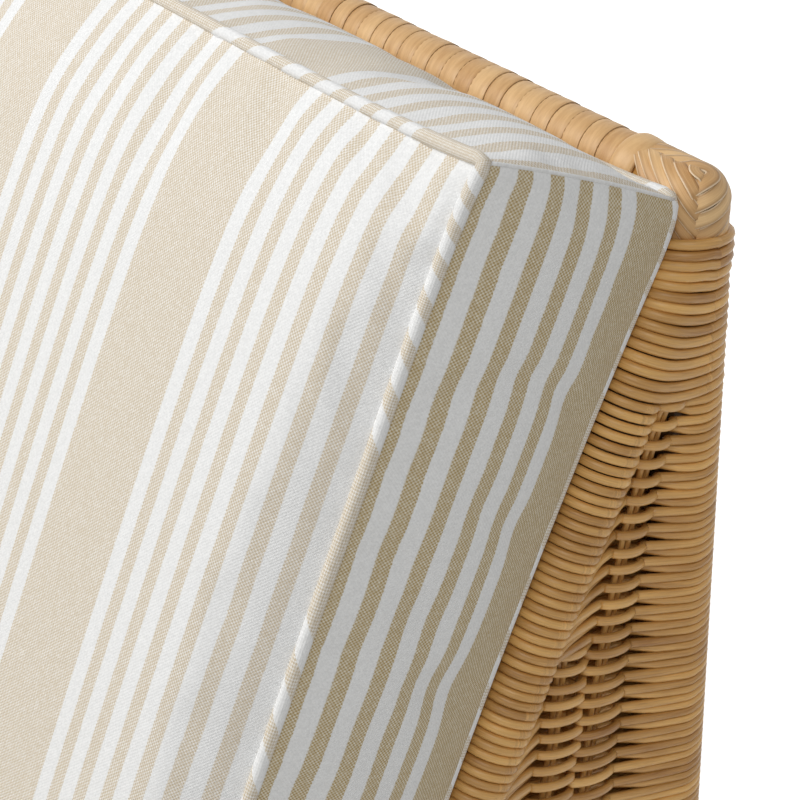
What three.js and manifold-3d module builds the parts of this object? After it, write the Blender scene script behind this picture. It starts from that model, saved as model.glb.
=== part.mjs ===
// Outdoor lounge chair without arms: a tube frame under woven wicker, with a box seat cushion and a box back
// cushion. Millimetres, +Z up. The chair faces -Y, +X is the side on its left hand, and the origin is on the
// floor under the middle of its footprint.
import * as THREE from 'three';
import { mergeVertices } from 'three/addons/utils/BufferGeometryUtils.js';
import Module from 'manifold-3d';

const wasm = await Module();
wasm.setup();

const degree = Math.PI / 180;

// Overall sizes
const cushionWidth = 730;
const cushionThickness = 127;
const seatCushionDepth = 585;
const deckRearHeight = 260;
const topRailHeight = 799;
const lowerRailHeight = 75;
const backRecline = 24.3 * degree;
const postRake = 2.2 * degree;
const seatTilt = 4 * degree;
const knuckleDrop = 15;
const backTopRise = 15.5;
const cushionOverhang = 5;

// Frame tubes
const tubeDiameter = 30;
const tubeWall = 2;
const barDiameter = 20;
const barWall = 1.5;
const glideHeight = 9;
const glideRim = 2;
const glideSpigot = 22;
const legCapThickness = 3;
const legCapSpigot = 11;
const backBarShares = [0.34, 0.72];
const bearerShares = [-1 / 3, 1 / 3];
const stileTopDrop = 14;
const postTopRise = 4;

// Wicker
const strandDiameter = 4.95;
const liningThickness = 1.1;
const bindingPitch = 5.5;
const firstTurnDrop = 5.6;
const proudTurnRise = 2;
const outerTurnLift = 7.4;
const panelInset = 5;
const weaveRelief = 4.7;
const railBindingThickness = 2;
const knobThickness = 2.4;
const knobReach = 27;
const collarWidth = 15;
const collarThickness = 3.8;
const collarRoundShare = 1 / 4;

// Cushions
const backCrown = 40;
const backRearCrown = 5;
const seatCrown = 24;
const edgeDrawIn = 7;
const boxingBulge = 12;
const pipingDiameter = 7.2;
const pipingInset = 2;
const rimWidth = 9;
const rimSink = 4.8;
const cornerSinkShare = 1.4;
const paddingThickness = 12;
const creaseWidth = 14;

// Zips
const seatZipLength = 620;
const seatZipHeight = 84;
const backZipLength = 620;
const backZipInset = 22;
const tapeWidth = 12;
const tapeThickness = 2.4;
const teethWidth = 4;
const teethHeight = 1;
const sliderLength = 10;
const sliderWidth = 8;
const sliderHeight = 4;
const bridgeWidth = 2.6;
const bridgeLength = 5;
const bridgeHeight = 4;
const pinDiameter = 1.6;
const tabLength = 20;
const tabWidth = 9;
const tabThickness = 1.4;

// Fits
const clearance = 0.3;
const pinClearance = 0.5;
const pipingClearance = 0.35;
const overrun = 3;

// Counts
const tubeSides = 12;
const smallSides = 8;
const bindingTurns = 15;
const proudTurns = 3;
const bindingSteps = 16;
const bindingSides = 5;
const pipingSides = 6;
const widthCells = 14;
const lengthCells = 10;
const thicknessCells = 4;
const foamCells = [3, 3, 3];

// Worked out from the sizes above
const tubeRadius = tubeDiameter / 2;
const barRadius = barDiameter / 2;
const strandRadius = strandDiameter / 2;
const wrapRadius = tubeRadius + liningThickness + strandDiameter;
const panelThickness = 2 * strandDiameter;
const panelFace = wrapRadius - panelInset;
const ridgePitch = 2 * bindingPitch;
const sideX = cushionWidth / 2 - cushionOverhang;
const panelHalfWidth = sideX - wrapRadius - proudTurnRise - clearance;
const wrapHalfWidth = sideX - wrapRadius - clearance;

// Places in the side view are [y, z] pairs. The knuckle is where the axes of rear post and stile meet.
const knuckle = [0, topRailHeight - knuckleDrop];
const postDirection = [Math.sin(postRake), -Math.cos(postRake)];
const stileDirection = [-Math.sin(backRecline), -Math.cos(backRecline)];
const deckDirection = [-Math.cos(seatTilt), Math.sin(seatTilt)];
const deckNormal = [Math.sin(seatTilt), Math.cos(seatTilt)];
const backNormal = [Math.cos(backRecline), -Math.sin(backRecline)];

const along = (point, direction, distance) => [
  point[0] + direction[0] * distance,
  point[1] + direction[1] * distance,
];

// Point where the line through a along directionA crosses the line through b along directionB.
function crossing(a, directionA, b, directionB) {
  const spread = directionA[0] * directionB[1] - directionA[1] * directionB[0];
  const offset = (b[0] - a[0]) * directionB[1] - (b[1] - a[1]) * directionB[0];
  return along(a, directionA, offset / spread);
}

const level = [1, 0];
const plumb = [0, 1];
const farFront = -2 * seatCushionDepth;
const farRear = seatCushionDepth;
const footTop = lowerRailHeight - wrapRadius;

// The seat cushion's rear lower edge stands on the deck, just in front of the wrapped stiles.
const stileFront = along(knuckle, backNormal, -(wrapRadius + clearance));
const seatRear = crossing(stileFront, stileDirection, [0, deckRearHeight], level);
const deckPoint = (forward, up) => along(along(seatRear, deckDirection, forward), deckNormal, up);
const seatFront = deckPoint(seatCushionDepth, 0);

const railDrop = wrapRadius + clearance;
const railStart = deckPoint(0, -railDrop);
const legAxis = [seatFront[0] + wrapRadius, 0];
const topJoint = crossing(knuckle, postDirection, [0, topRailHeight], level);
const legTop = crossing(legAxis, plumb, deckPoint(0, 0), deckDirection);
const frontJoint = crossing(legAxis, plumb, railStart, deckDirection);
const stileJoint = crossing(knuckle, stileDirection, railStart, deckDirection);
const rearJoint = crossing(knuckle, postDirection, railStart, deckDirection);
const lowerFrontJoint = [legAxis[0], lowerRailHeight];
const lowerRearJoint = crossing(knuckle, postDirection, [0, lowerRailHeight], level);
const postFoot = crossing(knuckle, postDirection, [0, glideHeight], level);
const legFoot = [legAxis[0], glideHeight];

const finishes = {
  wicker: new THREE.MeshStandardMaterial({ color: 0xc49a5c, roughness: 0.55, metalness: 0 }),
  tube: new THREE.MeshStandardMaterial({ color: 0x8a6f4a, roughness: 0.5, metalness: 0.4 }),
  fabric: new THREE.MeshStandardMaterial({ color: 0xe6ddcb, roughness: 0.95, metalness: 0 }),
  foam: new THREE.MeshStandardMaterial({ color: 0xf1ead2, roughness: 1, metalness: 0 }),
  nylon: new THREE.MeshStandardMaterial({ color: 0x2a2725, roughness: 0.5, metalness: 0 }),
  zip: new THREE.MeshStandardMaterial({ color: 0xd8cdb6, roughness: 0.7, metalness: 0 }),
  slider: new THREE.MeshStandardMaterial({ color: 0xb9b4a8, roughness: 0.35, metalness: 0.9 }),
};

const chair = new THREE.Group();

function addPiece(name, geometry, finish, parent = chair) {
  const mesh = new THREE.Mesh(geometry, finish);
  mesh.name = name;
  parent.add(mesh);
  return mesh;
}

// A closed geometry as a solid that can be joined and cut, and back again.
function toSolid(geometry) {
  const bare = geometry.clone();
  bare.deleteAttribute('normal');
  bare.deleteAttribute('uv');
  const merged = mergeVertices(bare);
  const vertProperties = new Float32Array(merged.attributes.position.array);
  const triVerts = new Uint32Array(merged.index.array);
  return new wasm.Manifold(new wasm.Mesh({ numProp: 3, vertProperties, triVerts }));
}

function toGeometry(solid) {
  const mesh = solid.getMesh();
  const geometry = new THREE.BufferGeometry();
  geometry.setAttribute('position', new THREE.BufferAttribute(mesh.vertProperties, mesh.numProp));
  geometry.setIndex(new THREE.BufferAttribute(mesh.triVerts, 1));
  geometry.computeVertexNormals();
  return geometry;
}

const join = (solids) => solids.reduce((whole, next) => whole.add(next));
const cut = (solid, tools) => tools.reduce((whole, tool) => whole.subtract(tool), solid);

// A round bar between two points.
function rod(from, to, radius, sides = tubeSides) {
  const run = new THREE.Vector3().subVectors(to, from);
  const geometry = new THREE.CylinderGeometry(radius, radius, run.length(), sides);
  geometry.translate(0, run.length() / 2, 0);
  const turn = new THREE.Quaternion().setFromUnitVectors(new THREE.Vector3(0, 1, 0), run.clone().normalize());
  geometry.applyQuaternion(turn);
  geometry.translate(from.x, from.y, from.z);
  return toSolid(geometry);
}

// The outline given as [y, z] pairs, drawn out along X between two places.
function slab(outline, fromX, toX) {
  const shape = new THREE.Shape(outline.map(([y, z]) => new THREE.Vector2(y, z)));
  const geometry = new THREE.ExtrudeGeometry(shape, { depth: toX - fromX, bevelEnabled: false });
  const turn = new THREE.Matrix4().makeBasis(
    new THREE.Vector3(0, 1, 0),
    new THREE.Vector3(0, 0, 1),
    new THREE.Vector3(1, 0, 0),
  );
  geometry.applyMatrix4(turn);
  geometry.translate(fromX, 0, 0);
  return toSolid(geometry);
}

// In plain weave one row stands out at a stake and the next one lies behind it, so a web is ridged: one ridge
// for two rows. Points from one end of its face to the other, crest and valley in turn.
function ridgedLine(from, to, inwards) {
  const length = Math.hypot(to[0] - from[0], to[1] - from[1]);
  const direction = [(to[0] - from[0]) / length, (to[1] - from[1]) / length];
  const steps = 2 * Math.round(length / ridgePitch);
  const points = [];
  for (let step = 0; step <= steps; step += 1) {
    const crest = along(from, direction, length * step / steps);
    points.push(step % 2 === 0 ? crest : along(crest, inwards, weaveRelief));
  }
  return points;
}

// A web across the chair's side, ridged on its outer face: its outline is in [x, z] and it runs along Y.
function ridgedSide(x, low, high) {
  const out = Math.sign(x);
  const [inner, outer] = [x + out * (panelFace - panelThickness), x + out * panelFace];
  const outline = [[inner, low], ...ridgedLine([outer, low], [outer, high], [-out, 0]), [inner, high]];
  const shape = new THREE.Shape(outline.map(([across, height]) => new THREE.Vector2(across, height)));
  const geometry = new THREE.ExtrudeGeometry(shape, { depth: farRear - farFront, bevelEnabled: false });
  geometry.rotateX(Math.PI / 2);
  geometry.translate(0, farRear, 0);
  return toSolid(geometry);
}

const inSide = (point, x) => new THREE.Vector3(x, point[0], point[1]);
const rodInSide = (a, b, x, radius) => rod(inSide(a, x), inSide(b, x), radius);
const rodAcross = (point, half, radius) => rod(inSide(point, -half), inSide(point, half), radius);

// The runs of the frame's members: each has two ends in the side view, lengthened by what it stands proud.
const stretch = (a, b, before, after) => {
  const length = Math.hypot(b[0] - a[0], b[1] - a[1]);
  const direction = [(b[0] - a[0]) / length, (b[1] - a[1]) / length];
  return [along(a, direction, -before), along(b, direction, after)];
};
const postRun = [along(topJoint, postDirection, -postTopRise), postFoot];
const stileRun = [along(knuckle, stileDirection, stileTopDrop), stileJoint];
const legEndDrop = legCapThickness + clearance + wrapRadius * Math.tan(seatTilt);
const legRun = [legFoot, along(legTop, plumb, -legEndDrop)];
const sideRailRun = [frontJoint, rearJoint];
const lowerRailRun = [lowerFrontJoint, lowerRearJoint];

// What each member takes up, with the clearance that its neighbours keep.
function takenBy(run, x, radius = tubeRadius) {
  const [a, b] = stretch(run[0], run[1], clearance, clearance);
  return rodInSide(a, b, x, radius + clearance);
}

function tube(run, x, cutters) {
  const [a, b] = run;
  const [boreA, boreB] = stretch(a, b, overrun, overrun);
  const hollow = rodInSide(a, b, x, tubeRadius).subtract(rodInSide(boreA, boreB, x, tubeRadius - tubeWall));
  return cut(hollow, cutters);
}

function crossTube(point, halfWidth, radius, wall, cutters) {
  const bore = rodAcross(point, halfWidth + overrun, radius - wall);
  return cut(rodAcross(point, halfWidth, radius).subtract(bore), cutters);
}

const sides = [
  { name: 'left', x: sideX },
  { name: 'right', x: -sideX },
];

// Which side tubes pass a place: used to cut wicker and cross members clear of the frame.
const sideTubes = sides.map(({ x }) => ({
  post: takenBy(postRun, x),
  stile: takenBy([knuckle, stileJoint], x),
  leg: takenBy([legFoot, along(legTop, plumb, wrapRadius)], x),
  rail: takenBy(sideRailRun, x),
  lower: takenBy(lowerRailRun, x),
}));
const allTubes = sideTubes.flatMap((tubes) => Object.values(tubes));

function makeSideFrame({ name, x }, taken) {
  addPiece(`rear_post_${name}`, toGeometry(tube(postRun, x, [])), finishes.tube);
  addPiece(`front_leg_${name}`, toGeometry(tube(legRun, x, [])), finishes.tube);
  addPiece(`seat_rail_${name}`, toGeometry(tube(sideRailRun, x, [taken.post, taken.leg])), finishes.tube);
  addPiece(`back_stile_${name}`, toGeometry(tube(stileRun, x, [taken.post, taken.rail])), finishes.tube);
  addPiece(`lower_rail_${name}`, toGeometry(tube(lowerRailRun, x, [taken.post, taken.leg])), finishes.tube);
}

const crossMembers = {
  top_rail: topJoint,
  front_seat_rail: frontJoint,
  rear_seat_rail: stileJoint,
  back_rail: rearJoint,
  lower_front_rail: lowerFrontJoint,
  lower_rear_rail: lowerRearJoint,
};
const takenByCross = ([name, point]) => [name, rodAcross(point, sideX, tubeRadius + clearance)];
const takenAcross = Object.fromEntries(Object.entries(crossMembers).map(takenByCross));
const allRails = Object.values(takenAcross);

function makeCrossMembers() {
  for (const [name, point] of Object.entries(crossMembers)) {
    const piece = crossTube(point, sideX, tubeRadius, tubeWall, allTubes);
    addPiece(name, toGeometry(piece), finishes.tube);
  }
}

// Two thin bars behind the inner back, and two bearers under the deck.
const stileLength = (knuckle[1] - stileJoint[1]) / Math.cos(backRecline);
const backBarDrops = backBarShares.map((share) => share * stileLength);
const backBarPoints = backBarDrops.map((drop) => along(along(knuckle, stileDirection, drop), backNormal,
  panelThickness + barRadius + clearance - wrapRadius));
const bearerXs = bearerShares.map((share) => share * sideX);
const bearerRun = [frontJoint, stileJoint].map((point) => along(point, deckNormal,
  railDrop - 2 * clearance - panelThickness - barRadius));

function makeBars() {
  backBarPoints.forEach((point, index) => {
    const bar = crossTube(point, sideX, barRadius, barWall, sideTubes.map((tubes) => tubes.stile));
    addPiece(`back_bar_${index + 1}`, toGeometry(bar), finishes.tube);
  });
  bearerXs.forEach((x, index) => {
    const [boreA, boreB] = stretch(...bearerRun, overrun, overrun);
    const bore = rodInSide(boreA, boreB, x, barRadius - barWall);
    const bearer = rodInSide(...bearerRun, x, barRadius).subtract(bore);
    const cutters = [takenAcross.front_seat_rail, takenAcross.rear_seat_rail];
    addPiece(`deck_bearer_${index + 1}`, toGeometry(cut(bearer, cutters)), finishes.tube);
  });
}
const takenBars = backBarPoints.map((point) => rodAcross(point, sideX, barRadius + clearance));
const takenBearers = bearerXs.map((x) => rodInSide(...bearerRun, x, barRadius + clearance));

// The corner binding is one strand wound round post and stile together, from just under the top rail.
// It goes round the post at the back and round the reclined stile at the front. The first turns stand proud,
// over the knob's skirt, and every turn is higher outside than inside, where it passes under the rail.
function bindingPath(x) {
  const radius = tubeRadius + liningThickness + strandRadius;
  const points = [];
  for (let step = 0; step <= bindingTurns * bindingSteps; step += 1) {
    const turns = step / bindingSteps;
    const angle = (turns + 1 / (2 * bindingSteps)) * 2 * Math.PI;
    const lift = outerTurnLift * (1 - turns / bindingTurns) * (1 + Math.sin(angle)) / 2;
    const drop = firstTurnDrop + turns * bindingPitch - lift;
    const proud = proudTurnRise * Math.min(Math.max(proudTurns + 1 - turns, 0), 1);
    const slope = Math.cos(angle) > 0 ? Math.tan(postRake) : -Math.tan(backRecline);
    const lengthening = Math.cos(angle) > 0 ? 1 / Math.cos(postRake) : 1 / Math.cos(backRecline);
    points.push(new THREE.Vector3(
      x + (radius + proud) * Math.sin(angle) * Math.sign(x),
      drop * slope + (radius + proud) * lengthening * Math.cos(angle),
      knuckle[1] - drop,
    ));
  }
  return points;
}

// A tube swept along points, closed at both ends or joined into a ring.
function sweep(points, radius, rings, closed) {
  const count = points.length;
  const tangents = points.map((point, index) => {
    const before = points[closed ? (index + count - 1) % count : Math.max(index - 1, 0)];
    const after = points[closed ? (index + 1) % count : Math.min(index + 1, count - 1)];
    return new THREE.Vector3().subVectors(after, before).normalize();
  });
  const positions = [];
  const up = new THREE.Vector3(0, 0, 1);
  if (Math.abs(tangents[0].z) > Math.SQRT1_2) up.set(0, 1, 0);
  const side = new THREE.Vector3().crossVectors(up, tangents[0]).normalize();
  points.forEach((point, index) => {
    side.addScaledVector(tangents[index], -side.dot(tangents[index])).normalize();
    const lift = new THREE.Vector3().crossVectors(tangents[index], side);
    for (let corner = 0; corner < rings; corner += 1) {
      const angle = (corner / rings + 1 / 4) * 2 * Math.PI;
      const spoke = side.clone().multiplyScalar(Math.cos(angle)).addScaledVector(lift, Math.sin(angle));
      positions.push(...point.clone().addScaledVector(spoke, radius).toArray());
    }
  });
  const faces = [];
  const spans = closed ? count : count - 1;
  for (let span = 0; span < spans; span += 1) {
    for (let corner = 0; corner < rings; corner += 1) {
      const a = span * rings + corner;
      const b = span * rings + (corner + 1) % rings;
      const c = ((span + 1) % count) * rings + (corner + 1) % rings;
      const d = ((span + 1) % count) * rings + corner;
      faces.push(a, b, c, a, c, d);
    }
  }
  if (!closed) {
    const last = (count - 1) * rings;
    for (let corner = 1; corner < rings - 1; corner += 1) {
      faces.push(0, corner + 1, corner);
      faces.push(last, last + corner, last + corner + 1);
    }
  }
  const geometry = new THREE.BufferGeometry();
  geometry.setAttribute('position', new THREE.Float32BufferAttribute(positions, 3));
  geometry.setIndex(faces);
  geometry.computeVertexNormals();
  return geometry;
}

// Least distance between the skins of strands that lie more than half a turn apart.
function leastSelfGap(points, diameter, stepsApart) {
  let least = Infinity;
  const line = new THREE.Line3();
  const nearest = new THREE.Vector3();
  points.forEach((point, index) => {
    for (let other = index + stepsApart; other < points.length - 1; other += 1) {
      line.set(points[other], points[other + 1]);
      line.closestPointToPoint(point, true, nearest);
      least = Math.min(least, nearest.distanceTo(point) - diameter);
    }
  });
  return least;
}

const bindingDrop = firstTurnDrop + bindingTurns * bindingPitch + strandRadius + clearance;
const bindingEnd = [knuckle[0], knuckle[1] - bindingDrop];

function makeCornerBindings() {
  for (const { name, x } of sides) {
    const path = bindingPath(x);
    const gap = leastSelfGap(path, strandDiameter, bindingSteps / 2);
    console.log(`corner_binding_${name} least gap to itself ${gap.toFixed(3)} mm`);
    addPiece(`corner_binding_${name}`, sweep(path, strandRadius, bindingSides, false), finishes.wicker);
  }
}

// The knob caps the corner: a dome over the post's top, a skirt down to the binding, an arm along the rail.
function makeKnobs() {
  const radius = tubeRadius + knobThickness;
  for (const { name, x } of sides) {
    const centre = inSide(topJoint, x);
    const dome = new THREE.SphereGeometry(radius, tubeSides, smallSides);
    dome.rotateX(Math.PI / 2);
    dome.translate(...centre.toArray());
    const skirtEnd = along(topJoint, postDirection, knuckleDrop + firstTurnDrop - strandRadius - clearance);
    const skirt = rodInSide(topJoint, skirtEnd, x, radius);
    const arm = rod(centre, new THREE.Vector3(x - Math.sign(x) * knobReach, ...topJoint), radius);
    const railEnd = new THREE.Vector3(x + Math.sign(x) * clearance, ...topJoint);
    const post = takenBy(postRun, x);
    const rail = rod(new THREE.Vector3(0, ...topJoint), railEnd, tubeRadius + clearance);
    const stile = takenBy(stileRun, x);
    const knob = cut(join([toSolid(dome), skirt, arm]), [post, rail, stile]);
    addPiece(`corner_knob_${name}`, toGeometry(knob), finishes.wicker);
  }
}

// A ring with a rounded outside, round a line along X.
function ringAcross(centreX, width, inner, outer) {
  const profile = [
    [inner, 0],
    [outer, width * collarRoundShare],
    [outer, width * (1 - collarRoundShare)],
    [inner, width],
    [inner, 0],
  ].map(([r, w]) => new THREE.Vector2(r, w));
  const ring = new THREE.LatheGeometry(profile, 2 * tubeSides);
  ring.rotateZ(-Math.PI / 2);
  ring.translate(centreX - width / 2, ...topJoint);
  return ring;
}

function makeRailBinding() {
  const inner = tubeRadius + clearance;
  const collarStart = sideX - knobReach - clearance;
  const halfWidth = collarStart - collarWidth - clearance;
  const sleeve = rodAcross(topJoint, halfWidth, inner + railBindingThickness)
    .subtract(rodAcross(topJoint, halfWidth + overrun, inner));
  addPiece('rail_binding', toGeometry(sleeve), finishes.wicker);
  for (const { name, x } of sides) {
    const centreX = Math.sign(x) * (collarStart - collarWidth / 2);
    const ring = ringAcross(centreX, collarWidth, inner, inner + collarThickness);
    addPiece(`rail_collar_${name}`, toGeometry(toSolid(ring)), finishes.wicker);
  }
}

// Keeps what lies above or below the deck, between two heights along the chair's whole depth.
function bandAbove(low, high, halfWidth) {
  return slab([low[0], low[1], high[1], high[0]], -halfWidth, halfWidth);
}
const onDeck = (y, up) => crossing(deckPoint(0, up), deckDirection, [y, 0], plumb);
const reach = 2 * sideX;

// Side panel: rows woven between stile and rear post, which they go round, above the seat rail.
function makeSidePanels() {
  const keep = bandAbove(
    [onDeck(farFront, clearance), onDeck(farRear, clearance)],
    [[farFront, bindingEnd[1]], [farRear, bindingEnd[1]]],
    reach,
  );
  sides.forEach(({ name, x }, index) => {
    const out = Math.sign(x);
    const faces = [x + out * (panelFace - panelThickness), x + out * panelFace].sort((a, b) => a - b);
    const web = slab([knuckle, stileJoint, rearJoint], ...faces);
    const turns = [stileJoint, rearJoint].map((low) => rodInSide(knuckle, low, x, wrapRadius));
    const { post, stile } = sideTubes[index];
    const panel = cut(join([web, ...turns]).intersect(keep), [post, stile, ...takenBars]);
    addPiece(`side_panel_${name}`, toGeometry(panel), finishes.wicker);
  });
}

// Skirts hang between the seat rails and the lower rails, and go round the legs.
const skirtOutline = [frontJoint, rearJoint, lowerRearJoint, lowerFrontJoint];

function makeSideSkirts() {
  const keep = bandAbove(
    [[farFront, footTop], [farRear, footTop]],
    [onDeck(farFront, -clearance), onDeck(farRear, -clearance)],
    reach,
  );
  sides.forEach(({ name, x }, index) => {
    const cover = slab(skirtOutline, x - wrapRadius, x + wrapRadius);
    const web = ridgedSide(x, footTop, topRailHeight / 2).intersect(cover);
    const turns = [
      rodInSide(frontJoint, rearJoint, x, wrapRadius),
      rodInSide(lowerFrontJoint, lowerRearJoint, x, wrapRadius),
      rodInSide(legFoot, legTop, x, wrapRadius),
      rodInSide(along(rearJoint, postDirection, -wrapRadius), postFoot, x, wrapRadius),
    ];
    const cutters = [...Object.values(sideTubes[index]), ...allRails];
    const skirt = cut(join([web, ...turns]).intersect(keep), cutters);
    addPiece(`side_skirt_${name}`, toGeometry(skirt), finishes.wicker);
  });
}

function makeFootWraps() {
  for (const { name, x } of sides) {
    const feet = { rear: [postFoot, lowerRearJoint], front: [legFoot, lowerFrontJoint] };
    for (const [end, run] of Object.entries(feet)) {
      const rimTilt = (tubeRadius + glideRim) * Math.tan(postRake);
      const [bottom, top] = [run[0][1] + clearance + rimTilt, footTop - clearance];
      const [low, high] = [bottom, top].map((height) => [[farFront, height], [farRear, height]]);
      const keep = bandAbove(low, high, reach);
      const [a, b] = stretch(...run, overrun, overrun);
      const bore = rodInSide(a, b, x, tubeRadius + clearance);
      const wrap = rodInSide(a, b, x, wrapRadius).intersect(keep).subtract(bore);
      addPiece(`foot_wrap_${end}_${name}`, toGeometry(wrap), finishes.wicker);
    }
  }
}

function makeFrontSkirt() {
  const outer = legAxis[0] - panelFace;
  const inner = outer + panelThickness;
  const outline = [
    [inner, frontJoint[1]],
    [inner, lowerRailHeight],
    ...ridgedLine([outer, lowerRailHeight], [outer, frontJoint[1]], level),
  ];
  const web = slab(outline, -wrapHalfWidth, wrapHalfWidth);
  const turns = [frontJoint, lowerFrontJoint].map((point) => rodAcross(point, wrapHalfWidth, wrapRadius));
  const keep = bandAbove(
    [[farFront, footTop], [farRear, footTop]],
    [onDeck(farFront, -clearance), onDeck(farRear, -clearance)],
    reach,
  );
  const skirt = cut(join([web, ...turns]).intersect(keep),
    [takenAcross.front_seat_rail, takenAcross.lower_front_rail, ...takenBearers, ...allTubes]);
  addPiece('front_skirt', toGeometry(skirt), finishes.wicker);
}

// The outer back hangs from the top rail to the lower rear rail, on the rear of the posts.
function makeOuterBack() {
  const postNormal = [Math.cos(postRake), Math.sin(postRake)];
  const line = (offset) => [along(topJoint, postNormal, offset), along(lowerRearJoint, postNormal, offset)];
  const [outerTop, outerLow] = line(panelFace);
  const [innerTop, innerLow] = line(panelFace - panelThickness);
  const inwards = postNormal.map((value) => -value);
  const outline = [innerTop, innerLow, ...ridgedLine(outerLow, outerTop, inwards)];
  const web = slab(outline, -panelHalfWidth, panelHalfWidth);
  const turns = [rearJoint, lowerRearJoint].map((point) => rodAcross(point, panelHalfWidth, wrapRadius));
  const collarClear = (tubeRadius + 2 * clearance + collarThickness) / Math.cos(Math.PI / tubeSides);
  const railWrap = rodAcross(topJoint, sideX, collarClear);
  const cutters = [railWrap, takenAcross.back_rail, takenAcross.lower_rear_rail, ...allTubes];
  const back = cut(join([web, ...turns]), cutters);
  addPiece('outer_back', toGeometry(back), finishes.wicker);
}

// The inner back is stretched over the stiles, flush with the front of their wraps.
function makeInnerBack() {
  const front = along(knuckle, backNormal, -wrapRadius);
  const rear = along(front, backNormal, panelThickness);
  const deckLine = deckPoint(0, clearance);
  const outline = [
    along(front, stileDirection, bindingDrop),
    crossing(front, stileDirection, deckLine, deckDirection),
    crossing(rear, stileDirection, deckLine, deckDirection),
    along(rear, stileDirection, bindingDrop),
  ];
  const web = slab(outline, -panelHalfWidth, panelHalfWidth);
  addPiece('inner_back', toGeometry(cut(web, [...allTubes, ...takenBars])), finishes.wicker);
}

// The deck is woven between the front and rear seat rails, flush with the top of their wraps.
function makeDeck() {
  const cutters = [takenAcross.rear_seat_rail, ...takenBearers, ...allTubes];
  const rearWrap = cut(rodAcross(stileJoint, wrapHalfWidth, wrapRadius), cutters);
  addPiece('rear_rail_wrap', toGeometry(rearWrap), finishes.wicker);
  const top = -clearance;
  const low = top - panelThickness;
  const rearReach = stileJoint[0] - wrapRadius / 2;
  const frontReach = frontJoint[0] + wrapRadius / 2;
  const outline = [
    onDeck(frontReach, low),
    onDeck(rearReach, low),
    onDeck(rearReach, top),
    onDeck(frontReach, top),
  ];
  const web = slab(outline, -(sideX - wrapRadius / 2), sideX - wrapRadius / 2);
  const wraps = [
    rodAcross(stileJoint, reach, wrapRadius + clearance),
    rodAcross(frontJoint, reach, wrapRadius + clearance),
    ...sides.map(({ x }) => rodInSide(frontJoint, rearJoint, x, wrapRadius + clearance)),
    ...sides.map(({ x }) => rodInSide(legFoot, legTop, x, wrapRadius + clearance)),
  ];
  addPiece('seat_deck', toGeometry(cut(web, wraps)), finishes.wicker);
}

// Glides close the feet, and flat caps close the front legs under the cushion.
function makeGlides() {
  const bore = tubeRadius - tubeWall - clearance;
  const rim = tubeRadius + glideRim;
  const profile = [
    [0, -overrun],
    [rim, -overrun],
    [rim, glideHeight - clearance],
    [bore, glideHeight - clearance],
    [bore, glideHeight + glideSpigot],
    [0, glideHeight + glideSpigot],
  ].map(([r, h]) => new THREE.Vector2(r, h));
  const aboveFloor = bandAbove(
    [[farFront, 0], [farRear, 0]],
    [[farFront, topRailHeight], [farRear, topRailHeight]],
    reach,
  );
  for (const { name, x } of sides) {
    const feet = { rear: [postFoot, postRake], front: [legFoot, 0] };
    for (const [end, [foot, rake]] of Object.entries(feet)) {
      const glide = new THREE.LatheGeometry(profile, tubeSides);
      glide.rotateX(Math.PI / 2);
      glide.translate(0, 0, -glideHeight);
      glide.rotateX(rake);
      glide.translate(x, foot[0], foot[1]);
      addPiece(`glide_${end}_${name}`, toGeometry(toSolid(glide).intersect(aboveFloor)), finishes.nylon);
    }
  }
}

function makeLegCaps() {
  const [, legEnd] = legRun;
  const base = legEnd[1] + clearance;
  const bore = tubeRadius - tubeWall - clearance;
  const profile = [
    [0, -legCapSpigot],
    [bore, -legCapSpigot],
    [bore, 0],
    [tubeRadius, 0],
    [tubeRadius, legCapThickness - clearance],
    [0, legCapThickness - clearance],
  ].map(([r, h]) => new THREE.Vector2(r, h));
  for (const { name, x } of sides) {
    const cap = new THREE.LatheGeometry(profile, tubeSides);
    cap.rotateX(Math.PI / 2);
    cap.translate(x, legAxis[0], base);
    addPiece(`leg_cap_${name}`, toGeometry(toSolid(cap)), finishes.nylon);
  }
}

// Cushions. A pillow is worked out from u across, v along and w through its thickness, each from -1 to 1.
// Its boxing bulges and is drawn in between the corners. Its upper face (w = 1) has the crown, and the lower
// face may have a low one. The end that rests on something (v = restEnd) stays straight. skew is how much the
// length grows towards w = 1 at the resting end, and flatShare is where the crown has died out before that
// end. Crown and bulge start inside the rims, where the piping lies.
const inward = (share, size) => Math.min(Math.abs(share) / (1 - 2 * rimWidth / size), 1);

function pillowPoint(form, u, v, w) {
  const du = 1 - u * u;
  const dv = 1 - v * v;
  const swell = form.bulge * (1 - inward(w, form.thickness) ** 2);
  const resting = v * form.restEnd > 0;
  const x = u * (form.width / 2 - form.drawIn * dv + swell);
  const free = resting ? 0 : swell - form.drawIn * du;
  const skew = form.skew * (w + 1) / 2 * (1 + v * form.restEnd) / 2 * form.restEnd;
  const y = v * (form.length / 2 + free) + skew;
  const run = inward((v * form.restEnd + 1) / (form.flatShare + 1) * 2 - 1, form.length);
  const hill = (1 - inward(u, form.width) ** 4) * (1 - run ** 4);
  const z = w * form.thickness / 2 + (w > 0 ? w * form.crown : w * form.rearCrown) * hill;
  return [x, y, z];
}

// Shares from -1 to 1 with a narrow first and last cell of the rim's width. Where the crown dies out at
// flatShare before the end, one grid line lies there and one cell covers the flat.
function rimShares(cells, size, flatShare = 1) {
  const rim = 1 - 2 * rimWidth / size;
  const flat = flatShare < rim ? [rim] : [];
  const crowned = cells - 2 - flat.length;
  const last = flatShare < rim ? flatShare : rim;
  const shares = [-1];
  for (let cell = 0; cell <= crowned; cell += 1) shares.push((last + rim) * cell / crowned - rim);
  return [...shares, ...flat, 1];
}

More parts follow.
